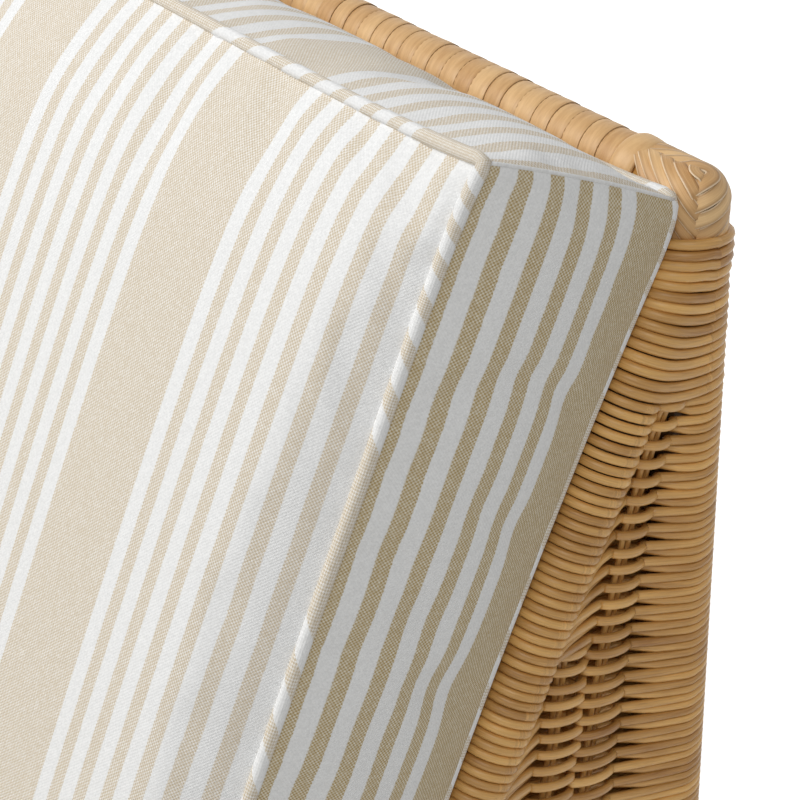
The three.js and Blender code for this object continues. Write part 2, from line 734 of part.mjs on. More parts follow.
function pillow(form, place, cells, sink) {
  const [nu, nv, nw] = cells;
  const grid = [
    rimShares(nu, form.width),
    rimShares(nv, form.length, form.flatShare),
    rimShares(nw, form.thickness),
  ];
  const box = new THREE.BoxGeometry(2, 2, 2, nu, nv, nw);
  const position = box.attributes.position;
  for (let index = 0; index < position.count; index += 1) {
    const steps = [
      Math.round((position.getX(index) + 1) * nu / 2),
      Math.round((position.getY(index) + 1) * nv / 2),
      Math.round((position.getZ(index) + 1) * nw / 2),
    ];
    const shares = steps.map((step, axis) => grid[axis][step]);
    const point = pillowPoint(form, ...shares);
    const edges = shares.map((share) => (Math.abs(share) === 1 ? Math.sign(share) : 0));
    const meeting = edges.filter((edge) => edge !== 0).length;
    const depth = [0, 0, sink, sink * cornerSinkShare][meeting];
    const sunk = point.map((value, axis) => value - edges[axis] * depth);
    position.setXYZ(index, ...place(...sunk));
  }
  return toSolid(box);
}

// The piping runs in the groove round one face (w = face), a little inside the corner line, with a point at
// every second grid line.
function pipingPath(form, place, cells, face) {
  const [nu, nv] = cells;
  const us = rimShares(nu, form.width);
  const vs = rimShares(nv, form.length, form.flatShare);
  const rim = [];
  for (let step = 1; step < nu; step += 2) rim.push([us[step], -1]);
  for (let step = 1; step < nv; step += 2) rim.push([1, vs[step]]);
  for (let step = nu - 1; step > 0; step -= 2) rim.push([us[step], 1]);
  for (let step = nv - 1; step > 0; step -= 2) rim.push([-1, vs[step]]);
  return rim.map(([u, v]) => {
    const [x, y, z] = pillowPoint(form, u, v, face);
    const inX = Math.abs(u) === 1 ? Math.sign(u) * pipingInset : 0;
    const inY = Math.abs(v) === 1 ? Math.sign(v) * pipingInset : 0;
    return new THREE.Vector3(...place(x - inX, y - inY, z - face * pipingInset));
  });
}

// Zip parts in the zip's own frame: X along the teeth, Y out of the cushion, Z across the tape.
function makeTape(length) {
  const half = tapeWidth / 2;
  const outline = [
    [-half, -tapeThickness],
    [half, -tapeThickness],
    [half, 0],
    [teethWidth / 2, 0],
    [teethWidth / 2, teethHeight],
    [-teethWidth / 2, teethHeight],
    [-teethWidth / 2, 0],
    [-half, 0],
  ].map(([z, y]) => [y, z]).reverse();
  return slab(outline, -length / 2, length / 2);
}

const sliderBase = teethHeight + clearance;
const pinHeight = sliderBase + sliderHeight + bridgeHeight / 2;

function box(sizeX, sizeY, sizeZ, x, y, z) {
  const geometry = new THREE.BoxGeometry(sizeX, sizeY, sizeZ);
  geometry.translate(x, y, z);
  return toSolid(geometry);
}

function pinRod(radius, half, y) {
  return rod(new THREE.Vector3(0, y, -half), new THREE.Vector3(0, y, half), radius, smallSides);
}

function makeSlider() {
  const body = box(sliderLength, sliderHeight, sliderWidth, 0, sliderBase + sliderHeight / 2, 0);
  const bridge = box(bridgeLength, bridgeHeight + clearance, bridgeWidth, 0, pinHeight - clearance / 2, 0);
  const eye = pinRod(pinDiameter / 2 + pinClearance, bridgeWidth, pinHeight);
  return join([body, bridge]).subtract(eye);
}

// The pull tab hangs on its pin, which lies in the slider's bridge. It points along -X here, and its plate
// starts far enough out to swing past the bridge's corners.
function makeTab() {
  const armGap = bridgeWidth / 2 + pinClearance;
  const armWidth = tabWidth / 2 - armGap;
  const pin = pinRod(pinDiameter / 2, tabWidth / 2, 0);
  const armLength = Math.hypot(bridgeLength, bridgeHeight) / 2 + pinClearance + armWidth;
  const armPlaces = [-1, 1].map((end) => end * (armGap + armWidth / 2));
  const arms = armPlaces.map((place) => box(armLength, tabThickness, armWidth, -armLength / 2, 0, place));
  const plateLength = tabLength - armLength + armWidth;
  const plate = box(plateLength, tabThickness, tabWidth, -armLength + armWidth - plateLength / 2, 0, 0);
  return join([pin, ...arms, plate]);
}

// The slot in the cover that a zip's tape lies in goes right through the padding.
const zipSlotSize = (length) => [
  length + 2 * clearance,
  2 * (paddingThickness + overrun),
  tapeWidth + 2 * clearance,
];

function makeZip(name, length, parent, place, turn, hanging) {
  const zip = new THREE.Group();
  zip.position.copy(place);
  zip.rotation.x = turn;
  parent.add(zip);
  addPiece(`${name}_zip_tape`, toGeometry(makeTape(length)), finishes.zip, zip);
  const slider = new THREE.Group();
  slider.position.x = length / 2 - sliderLength;
  zip.add(slider);
  addPiece(`${name}_zip_slider`, toGeometry(makeSlider()), finishes.slider, slider);
  const tab = addPiece(`${name}_zip_tab`, toGeometry(makeTab()), finishes.slider, slider);
  tab.position.y = pinHeight;
  tab.rotation.z = hanging ? -Math.PI / 2 : 0;
}

function makeCushion(name, form, place, group, slot) {
  const cells = [widthCells, lengthCells, thicknessCells];
  const outer = pillow(form, place, cells, rimSink);
  const hollowForm = (inset) => ({
    ...form,
    width: form.width - 2 * inset,
    length: form.length - 2 * inset,
    thickness: form.thickness - 2 * inset,
    crown: 0,
    rearCrown: 0,
    bulge: 0,
    flatShare: 1,
  });
  const hollow = pillow(hollowForm(paddingThickness), place, foamCells, 0);
  const foam = pillow(hollowForm(paddingThickness + clearance), place, foamCells, 0);
  addPiece(`${name}_cover`, toGeometry(outer.subtract(hollow).subtract(slot)), finishes.fabric, group);
  addPiece(`${name}_foam`, toGeometry(foam), finishes.foam, group);
  const faces = { upper: 1, lower: -1 };
  for (const [end, face] of Object.entries(faces)) {
    const path = pipingPath(form, place, cells, face);
    const geometry = sweep(path, pipingDiameter / 2, pipingSides, true);
    addPiece(`${name}_piping_${end}`, toGeometry(toSolid(geometry)), finishes.fabric, group);
  }
}

// Seat cushion: its own frame has its origin at the cushion's rear lower edge, on the deck.
const seatOrigin = inSide(seatRear, 0);
function makeSeat() {
  const seat = new THREE.Group();
  seat.position.copy(seatOrigin);
  seat.rotation.x = -seatTilt;
  chair.add(seat);
  const thickness = cushionThickness - pipingClearance - pipingProud;
  const flatShare = 1 - 2 * (backOnSeat + creaseWidth) / seatCushionDepth;
  const form = {
    width: cushionWidth,
    length: seatCushionDepth,
    thickness,
    crown: seatCrown,
    rearCrown: 0,
    drawIn: edgeDrawIn,
    bulge: boxingBulge,
    restEnd: 1,
    skew: 0,
    flatShare,
  };
  const lift = pipingProud + pipingClearance + thickness / 2;
  const place = (x, y, z) => [x, y - seatCushionDepth / 2, z + lift];
  const slot = box(...zipSlotSize(seatZipLength), 0, 0, seatZipHeight);
  makeCushion('seat_cushion', form, place, seat, slot);
  const zipPlace = new THREE.Vector3(0, 0, seatZipHeight);
  makeZip('seat', seatZipLength, seat, zipPlace, 0, false);
}

// Back cushion: its own frame has its origin at the knuckle, with Y through the cushion towards the rear.
const restAngle = backRecline - seatTilt;
const inBack = (point) => {
  const [dy, dz] = [point[0] - knuckle[0], point[1] - knuckle[1]];
  return [
    dy * Math.cos(backRecline) - dz * Math.sin(backRecline),
    dy * Math.sin(backRecline) + dz * Math.cos(backRecline),
  ];
};
const pipingProud = pipingDiameter / 2 - pipingInset;
const pipingBelow = pipingDiameter / 2 - pipingInset * (Math.cos(restAngle) - Math.sin(restAngle));
const restPoint = inBack(deckPoint(0, cushionThickness + pipingProud + pipingBelow + pipingClearance));
const railReach = -inBack(topJoint)[0] + tubeRadius + clearance + collarThickness;
const backRearPlane = -(railReach + clearance + pipingProud);
const backThickness = cushionThickness - pipingProud;
const backFrontPlane = backRearPlane - backThickness;
const restHeight = (y) => restPoint[1] + (y - restPoint[0]) * Math.tan(restAngle);
const backRearLength = backTopRise - restHeight(backRearPlane);
const backSkew = restHeight(backRearPlane) - restHeight(backFrontPlane);
const backFront = along(knuckle, backNormal, backFrontPlane);
const frontLowerEdge = along(backFront, stileDirection, -restHeight(backFrontPlane));
const seatTopRear = deckPoint(0, cushionThickness);
const backOnSeat = (seatTopRear[0] - frontLowerEdge[0]) / Math.cos(seatTilt);

function makeBack() {
  const back = new THREE.Group();
  back.position.copy(inSide(knuckle, 0));
  back.rotation.x = -backRecline;
  chair.add(back);
  const form = {
    width: cushionWidth,
    length: backRearLength,
    thickness: backThickness,
    crown: backCrown,
    rearCrown: backRearCrown,
    drawIn: edgeDrawIn,
    bulge: boxingBulge,
    restEnd: -1,
    skew: backSkew,
    flatShare: 1,
  };
  const middle = backTopRise - backRearLength / 2;
  const place = (x, y, z) => [x, backRearPlane - backThickness / 2 - z, middle + y];
  const zipY = backRearPlane - backZipInset * Math.cos(restAngle);
  const zipPlace = new THREE.Vector3(0, zipY, restHeight(zipY));
  const zipTurn = restAngle - Math.PI / 2;
  const slotGeometry = new THREE.BoxGeometry(...zipSlotSize(backZipLength));
  slotGeometry.rotateX(zipTurn);
  slotGeometry.translate(...zipPlace.toArray());
  makeCushion('back_cushion', form, place, back, toSolid(slotGeometry));
  makeZip('back', backZipLength, back, zipPlace, zipTurn, true);
}

sides.forEach((side, index) => makeSideFrame(side, sideTubes[index]));
makeCrossMembers();
makeBars();
makeCornerBindings();
makeKnobs();
makeRailBinding();
makeSidePanels();
makeSideSkirts();
makeFootWraps();
makeFrontSkirt();
makeOuterBack();
makeInnerBack();
makeDeck();
makeGlides();
makeLegCaps();
makeSeat();
makeBack();

// The origin goes under the middle of the footprint.
const extent = new THREE.Box3().setFromObject(chair, true);
chair.position.y = -(extent.min.y + extent.max.y) / 2;
chair.updateMatrixWorld(true);

export default chair;
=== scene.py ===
# %% [markdown]
# # A woven outdoor lounge chair
# The chair is a frame of aluminium tubes. Round cane is wound over the tubes and woven between them, and a
# seat cushion and a back cushion in a striped outdoor fabric lie on the cane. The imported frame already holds
# every tube, foot and zip at its true size, so this script adds what a frame can't show: each strand of the
# cane, the sewn cushions and all the finishes.

# %% Load the frame
import math

import bmesh
import bpy
import numpy as np
from mathutils import Matrix, Vector


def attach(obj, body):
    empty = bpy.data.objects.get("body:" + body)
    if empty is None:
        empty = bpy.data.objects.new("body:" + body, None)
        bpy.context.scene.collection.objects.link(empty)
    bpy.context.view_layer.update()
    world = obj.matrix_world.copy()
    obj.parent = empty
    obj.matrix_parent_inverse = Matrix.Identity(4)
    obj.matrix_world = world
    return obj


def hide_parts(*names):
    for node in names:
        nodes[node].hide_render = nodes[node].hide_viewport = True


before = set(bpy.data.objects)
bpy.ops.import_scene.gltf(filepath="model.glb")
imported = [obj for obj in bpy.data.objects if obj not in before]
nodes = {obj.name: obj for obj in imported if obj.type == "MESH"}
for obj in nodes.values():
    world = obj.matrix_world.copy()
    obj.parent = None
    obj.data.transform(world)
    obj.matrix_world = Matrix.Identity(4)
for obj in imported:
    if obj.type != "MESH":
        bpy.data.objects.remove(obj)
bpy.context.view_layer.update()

# %% [markdown]
# ## Places on the frame
# Seen from the side, each corner is a narrow triangle: the rear post drops almost plumb from the knuckle at
# the top, and the stile leans forward from the same point. Every strand is set out from those two lines, so
# they come first, as lengths in metres and directions in the plane of the side.

# %% The lines of the side frame
MM = 0.001
SIDE_X = 0.360
KNUCKLE = Vector((0, 0.399964, 0.784))
RAIL_RISE = 0.015
RECLINE = math.radians(24.3)
RAKE = math.radians(2.2)
TILT = math.radians(4)
STRAND_RADIUS = 2.55 * MM
WRAP_RADIUS = 17.4 * MM
LEG_Y = -0.42258
RAIL_LOW_Z = 0.075
DECK_REAR = Vector((0, 0.139943, 0.260))
RAIL_UNDER_DECK = 21.35 * MM

ACROSS = Vector((1, 0, 0))
FRONTWARD = Vector((0, -1, 0))
UPWARD = Vector((0, 0, 1))
STILE_DOWN = Vector((0, -math.sin(RECLINE), -math.cos(RECLINE)))
STILE_FRONT = Vector((0, -math.cos(RECLINE), math.sin(RECLINE)))
POST_DOWN = Vector((0, math.sin(RAKE), -math.cos(RAKE)))
POST_REAR = Vector((0, math.cos(RAKE), math.sin(RAKE)))
DECK_FORWARD = Vector((0, -math.cos(TILT), math.sin(TILT)))
DECK_UP = Vector((0, math.sin(TILT), math.cos(TILT)))


def on_stile(drop):
    return KNUCKLE + STILE_DOWN * (drop / math.cos(RECLINE))


def on_post(drop):
    return KNUCKLE + POST_DOWN * (drop / math.cos(RAKE))


TOP_RAIL = on_post(-RAIL_RISE)
RAIL_LINE = DECK_REAR - DECK_UP * RAIL_UNDER_DECK


def seat_rail_at(y):
    return RAIL_LINE + DECK_FORWARD * ((RAIL_LINE.y - y) / math.cos(TILT))


print("top rail at", [round(c, 4) for c in TOP_RAIL])

# %% [markdown]
# ## The camera
# The photograph was taken with a long lens, from above the chair's front corner. Its angle was worked out
# from the known thickness and lean of the back cushion. A matrix made of the camera's own right, up and
# backward directions says this more exactly than three turns would.

# %% Make the camera
IMAGE_WIDTH = 800
FOCAL_PIXELS = 2188
SENSOR_WIDTH = 36
CAMERA_PLACE = Vector((1.0092, -0.2837, 1.2628))
CAMERA_RIGHT = Vector((0.6157, 0.7880, 0.0)).normalized()
CAMERA_FORWARD = Vector((-0.6704, 0.5238, -0.5255)).normalized()

camera_data = bpy.data.cameras.new("camera")
camera_data.sensor_width = SENSOR_WIDTH
camera_data.lens = FOCAL_PIXELS / IMAGE_WIDTH * SENSOR_WIDTH
camera = bpy.data.objects.new("camera", camera_data)
bpy.context.scene.collection.objects.link(camera)
camera_up = CAMERA_RIGHT.cross(CAMERA_FORWARD)
turn = Matrix((CAMERA_RIGHT, camera_up, -CAMERA_FORWARD)).transposed()
camera.matrix_world = Matrix.Translation(CAMERA_PLACE) @ turn.to_4x4()
bpy.context.scene.camera = camera
print("lens", round(camera_data.lens, 1), "mm")

# %% [markdown]
# ## Small helpers for materials
# Colours are picked as the sRGB hex values that a paint or thread chart gives, but a renderer adds light in
# linear numbers, so one function turns one into the other. A second one adds a node with its settings and
# links, which keeps each material to a readable list.

# %% Colours and nodes
ATTRIBUTE = "ShaderNodeAttribute"
BUMP = "ShaderNodeBump"
JOIN = "ShaderNodeCombineXYZ"
MATH = "ShaderNodeMath"
MIX = "ShaderNodeMix"
NOISE = "ShaderNodeTexNoise"
RANGE = "ShaderNodeMapRange"
SPLIT = "ShaderNodeSeparateXYZ"


def linear(hex_colour):
    shares = [int(hex_colour[i:i + 2], 16) / 255 for i in (1, 3, 5)]
    return [c / 12.92 if c <= 0.04045 else ((c + 0.055) / 1.055) ** 2.4 for c in shares] + [1.0]


def add(tree, kind, inputs=None, **settings):
    node = tree.nodes.new(kind)
    for key, value in settings.items():
        setattr(node, key, value)
    for key, value in (inputs or {}).items():
        if isinstance(value, bpy.types.Node):
            value = value.outputs[0]
        if isinstance(value, bpy.types.NodeSocket):
            tree.links.new(value, node.inputs[key])
        else:
            node.inputs[key].default_value = value
    return node


def start_material(name, **values):
    material = bpy.data.materials.new(name)
    material.use_nodes = True
    tree = material.node_tree
    shader = tree.nodes["Principled BSDF"]
    for key, value in values.items():
        shader.inputs[key.replace("_", " ")].default_value = value
    return material, tree, shader


def seen_share(tree):
    # 1 for the rays that show a surface to the camera, straight, in a gloss or through glass, and 0 for light.
    rays = add(tree, "ShaderNodeLightPath").outputs
    seen = add(tree, MATH, {0: rays["Is Camera Ray"], 1: rays["Is Glossy Ray"]}, operation="MAXIMUM")
    return add(tree, MATH, {0: seen, 1: rays["Is Transmission Ray"]}, operation="MAXIMUM")


print("orange #FF8000 is", [round(c, 3) for c in linear("#FF8000")], "in linear light")

# %% [markdown]
# ## The floor
# The chair stands on a pale painted studio floor, which keeps its shadow. A plane of one face is enough. To
# look as white as the photograph's background it glows a little, but only for rays from the camera, so that
# it throws no more light on the chair than a painted floor does.

# %% Make the floor
FLOOR_HALF = 4
SHADOW_LIFT = 0.8

floor_shape = bmesh.new()
bmesh.ops.create_grid(floor_shape, x_segments=1, y_segments=1, size=FLOOR_HALF)
floor_mesh = bpy.data.meshes.new("floor")
floor_shape.to_mesh(floor_mesh)
floor_shape.free()
floor = bpy.data.objects.new("floor", floor_mesh)
bpy.context.scene.collection.objects.link(floor)

# Painted studio floor: flat white, with no gloss. The camera sees it a little brighter than it is.
studio_white, tree, shader = start_material("studio_white_paint", Roughness=0.9)
shader.inputs["Base Color"].default_value = linear("#EBEBE9")
shader.inputs["Emission Color"].default_value = linear("#FFFFFF")
lift = add(tree, MATH, {0: seen_share(tree), 1: SHADOW_LIFT}, operation="MULTIPLY")
tree.links.new(lift.outputs[0], shader.inputs["Emission Strength"])
floor_mesh.materials.append(studio_white)
print("floor", floor.dimensions[:])

# %% [markdown]
# ## The light
# Two round area lamps stand in for a studio's soft boxes. The main one hangs high in front of the chair and a
# weaker one high on its outer side, so the cushion's face is bright, its top a little darker and its outer
# side much darker. Rays from the camera see a white world, while its light on the chair stays plain.

# %% Light the studio
WORLD_LIGHT = 0.36
LAMP_DISTANCE = 2.5
AIM = Vector((0.1, 0.2, 0.6))
# Each lamp's name, the way to it, its width in metres and its power in watts.
LAMPS = [
    ("key", Vector((-0.36, -0.53, 0.72)), 1.5, 37.5),
    ("fill", Vector((0.55, -0.35, 0.76)), 1.1, 10),
]

world = bpy.data.worlds.new("studio")
bpy.context.scene.world = world
world.use_nodes = True
tree = world.node_tree
strength = add(tree, RANGE, {"Value": seen_share(tree), "To Min": WORLD_LIGHT, "To Max": 1.0})
background = tree.nodes["Background"]
background.inputs["Color"].default_value = linear("#FFFFFF")
tree.links.new(strength.outputs["Result"], background.inputs["Strength"])

for name, way, size, power in LAMPS:
    lamp_data = bpy.data.lights.new(name, "AREA")
    lamp_data.shape = "DISK"
    lamp_data.size = size
    lamp_data.energy = power
    lamp = bpy.data.objects.new(name, lamp_data)
    bpy.context.scene.collection.objects.link(lamp)
    lamp.location = AIM + way.normalized() * LAMP_DISTANCE
    lamp.rotation_euler = way.to_track_quat("Z", "Y").to_euler()
bpy.context.scene.view_settings.view_transform = "Standard"
print(len(LAMPS), "lamps at", LAMP_DISTANCE, "m")

# %% [markdown]
# ## The striped fabric
# Outdoor cushions of this kind are woven from solution-dyed acrylic yarn. The stripes are in the warp: in a
# repeat of 168 mm there are seven white stripes at a pitch of 17.5 mm and then a wide plain band. The pattern
# reads the cloth's own UV map, laid out in metres, so stripes bend with the cloth as woven ones do.

# %% Set out the stripes
STRIPE_REPEAT = 168.2 * MM
STRIPE_START = 3.4 * MM
STRIPE_PITCH = 17.47 * MM
STRIPE_WIDTH = 9.6 * MM
STRIPES = 7
EDGE_SOFTNESS = 0.7 * MM
EDGE_RAGGED = 1.2 * MM
# MODULO needs a positive number, so the pattern starts this many repeats to the left of the cloth.
SPARE_REPEATS = 10


def white_warp(tree, uv, across):
    # 1 in a white stripe and 0 beside it. The edge of a stripe runs in and out by half a yarn.
    ragged = add(tree, NOISE, {"Vector": uv, "Scale": 900.0, "Detail": 1.0})
    edge = add(tree, MATH, {0: ragged, 1: EDGE_RAGGED, 2: -EDGE_RAGGED / 2}, operation="MULTIPLY_ADD")
    uneven = add(tree, MATH, {0: across, 1: edge}, operation="ADD")
    start = SPARE_REPEATS * STRIPE_REPEAT - STRIPE_START
    shifted = add(tree, MATH, {0: uneven, 1: start}, operation="ADD")
    in_repeat = add(tree, MATH, {0: shifted, 1: STRIPE_REPEAT}, operation="MODULO")
    in_stripe = add(tree, MATH, {0: in_repeat, 1: STRIPE_PITCH}, operation="MODULO")
    from_middle = add(tree, MATH, {0: in_stripe, 1: STRIPE_WIDTH / 2}, operation="SUBTRACT")
    from_middle = add(tree, MATH, {0: from_middle}, operation="ABSOLUTE")
    stripe = add(tree, RANGE, {"Value": from_middle, "From Min": (STRIPE_WIDTH + EDGE_SOFTNESS) / 2,
                               "From Max": (STRIPE_WIDTH - EDGE_SOFTNESS) / 2})
    banded = add(tree, MATH, {0: in_repeat, 1: STRIPES * STRIPE_PITCH}, operation="LESS_THAN")
    return add(tree, MATH, {0: stripe, 1: banded}, operation="MULTIPLY")


print("fabric repeat", STRIPE_REPEAT / MM, "mm")

# %% [markdown]
# ## The yarns
# White warp gives a smooth stripe, and the rest of the cloth is a basket of cream and tan yarns. The yarns
# are the nodes' own little grid: FLOOR numbers the crossings, and their numbers pick the thread. Real yarns
# are 0.6 mm apart, which is too fine to show, so these are drawn 0.95 mm apart.

# %% Weave the striped fabric
YARN = 0.95 * MM
SLUB_WIDTH, SLUB_LENGTH = 1.3 * MM, 6 * MM
PARITY_SHARE, PICK_SHARE, SLUB_SHARE = 0.75, 0.35, 0.45


def yarn_number(tree, place):
    yarns = add(tree, MATH, {0: place, 1: YARN}, operation="DIVIDE")
    return add(tree, MATH, {0: yarns}, operation="FLOOR")


def yarn_wave(tree, place):
    turns = add(tree, MATH, {0: place, 1: math.pi / YARN}, operation="MULTIPLY")
    return add(tree, MATH, {0: turns}, operation="SINE")


def make_fabric():
    # Solution-dyed acrylic cloth, plain woven: matt, with a soft bloom at grazing angles and a visible yarn.
    material, tree, shader = start_material("striped_acrylic_cloth", Roughness=0.92, Sheen_Weight=0.1,
                                            Sheen_Roughness=0.5, Specular_IOR_Level=0.25)
    uv = add(tree, "ShaderNodeUVMap", uv_map="UVMap")
    across, along = add(tree, SPLIT, {0: uv}).outputs[:2]
    white_share = white_warp(tree, uv, across)
    # Each crossing shows a tan or a cream thread, and slubs run on for a few millimetres.
    cell_u, cell_v = yarn_number(tree, across), yarn_number(tree, along)
    pick = add(tree, "ShaderNodeTexWhiteNoise", {"Vector": add(tree, JOIN, {0: cell_u, 1: cell_v})},
               noise_dimensions="2D")
    crossing = add(tree, MATH, {0: cell_u, 1: cell_v}, operation="ADD")
    crossing = add(tree, MATH, {0: crossing, 1: 2.0}, operation="MODULO")
    parity = add(tree, MATH, {0: crossing}, operation="ABSOLUTE")
    slub_scale = (1 / SLUB_WIDTH, 1 / SLUB_LENGTH, 1)
    slub_place = add(tree, "ShaderNodeMapping", {"Vector": uv, "Scale": slub_scale})
    slub = add(tree, NOISE, {"Vector": slub_place, "Scale": 1.0, "Detail": 2.0})
    thread = add(tree, MATH, {0: slub, 1: SLUB_SHARE}, operation="MULTIPLY")
    thread = add(tree, MATH, {0: pick, 1: PICK_SHARE, 2: thread}, operation="MULTIPLY_ADD")
    thread = add(tree, MATH, {0: parity, 1: PARITY_SHARE, 2: thread}, operation="MULTIPLY_ADD")
    tan_share = add(tree, RANGE, {"Value": thread, "From Min": 0.2, "From Max": 1.15})
    # On the side boxing the cream and the tan are both deeper: painted shade, which darkens the cushion's
    # sides beyond what the lamps do.
    boxing = add(tree, ATTRIBUTE, attribute_name="boxing").outputs["Fac"]
    cream = add(tree, MIX, {0: boxing, 6: linear("#F3EFE8"), 7: linear("#E8E0CC")}, data_type="RGBA")
    tan = add(tree, MIX, {0: boxing, 6: linear("#D2C3AA"), 7: linear("#B69E6E")}, data_type="RGBA")
    beige = add(tree, MIX, {0: tan_share, 6: cream.outputs[2], 7: tan.outputs[2]}, data_type="RGBA")
    whites = add(tree, MIX, {0: pick, 6: linear("#F6F6F5"), 7: linear("#ECECEB")}, data_type="RGBA")
    cloth = add(tree, MIX, {0: white_share, 6: beige.outputs[2], 7: whites.outputs[2]}, data_type="RGBA")
    tree.links.new(cloth.outputs[2], shader.inputs["Base Color"])
    height = add(tree, MATH, {0: yarn_wave(tree, across), 1: yarn_wave(tree, along), 2: slub},
                 operation="MULTIPLY_ADD")
    bump = add(tree, BUMP, {"Height": height, "Distance": 0.12 * MM, "Strength": 0.6})
    tree.links.new(bump.outputs[0], shader.inputs["Normal"])
    return material


fabric = make_fabric()
print(fabric.name, "has yarns", YARN / MM, "mm apart")

# %% [markdown]
# ## The cane
# The strands are round cane, or a resin copy of it, stained honey brown. What the eye reads is the run of
# fine fibres along each strand, strands that differ a little in tone, and a soft satin shine. Each strand
# carries its length and its own tone as attributes, so that fibres follow it round every bend. Noise on a
# ring closes on itself all the way round a strand. Flat cane also gets a band of painted shade beside each
# edge and a painted highlight along the edge itself.

# %% Make the cane materials
FIBRE_RUN, SLOW_RUN = 60.0, 16.0
TONE_STEP, SLOW_TONE_STEP = 40.0, 60.0
STREAK_SHARE, SLOW_SHARE, TONE_SHARE = 1.1, 1.1, 0.5
# How far round a strip's section its outer middle lies, and where its painted shade and highlight lie from
# there.
FACE_SHARE = 0.3
SHADE_BAND_START, SHADE_BAND_STOP, HIGHLIGHT_START, HIGHLIGHT_STOP = 0.07, 0.16, 0.165, 0.2
SHADE_BAND_DARKNESS = 0.6


# edge sets how strongly the painted shade band and the painted highlight show at a flat strip's edges.
def make_cane(name, light, dark, fibres, roughness, edge=0.0):
    material, tree, shader = start_material(name, Roughness=roughness, Specular_IOR_Level=0.5)
    along = add(tree, ATTRIBUTE, attribute_name="along").outputs["Fac"]
    tone = add(tree, ATTRIBUTE, attribute_name="tone").outputs["Fac"]
    around = add(tree, SPLIT, {0: add(tree, "ShaderNodeUVMap", uv_map="UVMap")}).outputs[1]
    angle = add(tree, MATH, {0: around, 1: 2 * math.pi}, operation="MULTIPLY")
    ring_start = add(tree, MATH, {0: tone, 1: TONE_STEP}, operation="MULTIPLY")
    ring_y = add(tree, MATH, {0: angle}, operation="COSINE")
    ring_y = add(tree, MATH, {0: ring_y, 1: fibres, 2: ring_start}, operation="MULTIPLY_ADD")
    ring_z = add(tree, MATH, {0: angle}, operation="SINE")
    ring_z = add(tree, MATH, {0: ring_z, 1: fibres}, operation="MULTIPLY")
    run = add(tree, MATH, {0: along, 1: FIBRE_RUN}, operation="MULTIPLY")
    streaks = add(tree, NOISE, {"Vector": add(tree, JOIN, {0: run, 1: ring_y, 2: ring_z}), "Scale": 1.0,
                                "Detail": 4.0, "Roughness": 0.65})
    slow_run = add(tree, MATH, {0: along, 1: SLOW_RUN}, operation="MULTIPLY")
    slow_start = add(tree, MATH, {0: tone, 1: SLOW_TONE_STEP}, operation="MULTIPLY")
    slow = add(tree, NOISE, {"Vector": add(tree, JOIN, {0: slow_run, 1: slow_start}), "Scale": 1.0,
                             "Detail": 2.0})
    stain = add(tree, MATH, {0: tone, 1: TONE_SHARE}, operation="MULTIPLY")
    stain = add(tree, MATH, {0: slow, 1: SLOW_SHARE, 2: stain}, operation="MULTIPLY_ADD")
    stain = add(tree, MATH, {0: streaks, 1: STREAK_SHARE, 2: stain}, operation="MULTIPLY_ADD")
    share = add(tree, RANGE, {"Value": stain, "From Min": 0.8, "From Max": 1.9})
    colour = add(tree, MIX, {0: share, 6: linear(light), 7: linear(dark)}, data_type="RGBA")
    offset = add(tree, MATH, {0: around, 1: FACE_SHARE}, operation="SUBTRACT")
    offset = add(tree, MATH, {0: offset}, operation="ABSOLUTE")
    # Painted shade: a dark band beside each edge of a flat strip, where strips lap.
    edge_shade = add(tree, RANGE, {"Value": offset, "From Min": SHADE_BAND_START, "From Max": SHADE_BAND_STOP,
                               "To Max": SHADE_BAND_DARKNESS * edge})
    colour = add(tree, MIX, {0: edge_shade, 6: colour.outputs[2], 7: linear("#8A5E30")}, data_type="RGBA")
    # Painted highlight: a pale line along each edge of a flat strip.
    edge_highlight = add(tree, RANGE, {"Value": offset, "From Min": HIGHLIGHT_START, "From Max": HIGHLIGHT_STOP, "To Max": edge})
    colour = add(tree, MIX, {0: edge_highlight, 6: colour.outputs[2], 7: linear("#F8E2C0")}, data_type="RGBA")
    tree.links.new(colour.outputs[2], shader.inputs["Base Color"])
    bump = add(tree, BUMP, {"Height": streaks, "Distance": 0.25 * MM, "Strength": 0.5})
    tree.links.new(bump.outputs[0], shader.inputs["Normal"])
    return material


# Round cane, stained and lacquered: satin, with fibres about 0.8 mm apart that run along each strand.
cane = make_cane("lacquered_round_cane", "#F8C677", "#9E6B2F", 3.0, 0.34)
# Flat cane, split and planed from the same stem: paler, drier and with straighter fibres, and with painted
# shade and a painted highlight at its edges.
flat_cane = make_cane("split_flat_cane", "#EFC992", "#B07F46", 4.5, 0.46, edge=0.8)
print("cane strand", 2 * STRAND_RADIUS / MM, "mm")

# %% [markdown]
# ## Strands
# A strand is a tube along a path. A Blender curve with a round bevel makes that tube, and it is turned into
# a mesh straight away. The mesh keeps its vertices path by path, ring by ring, so the length along each path
# can be written on them. The lids of open strands come first, in the opposite order.

# %% Make strands from paths
TONE_SEED = 7
tones = np.random.default_rng(TONE_SEED)


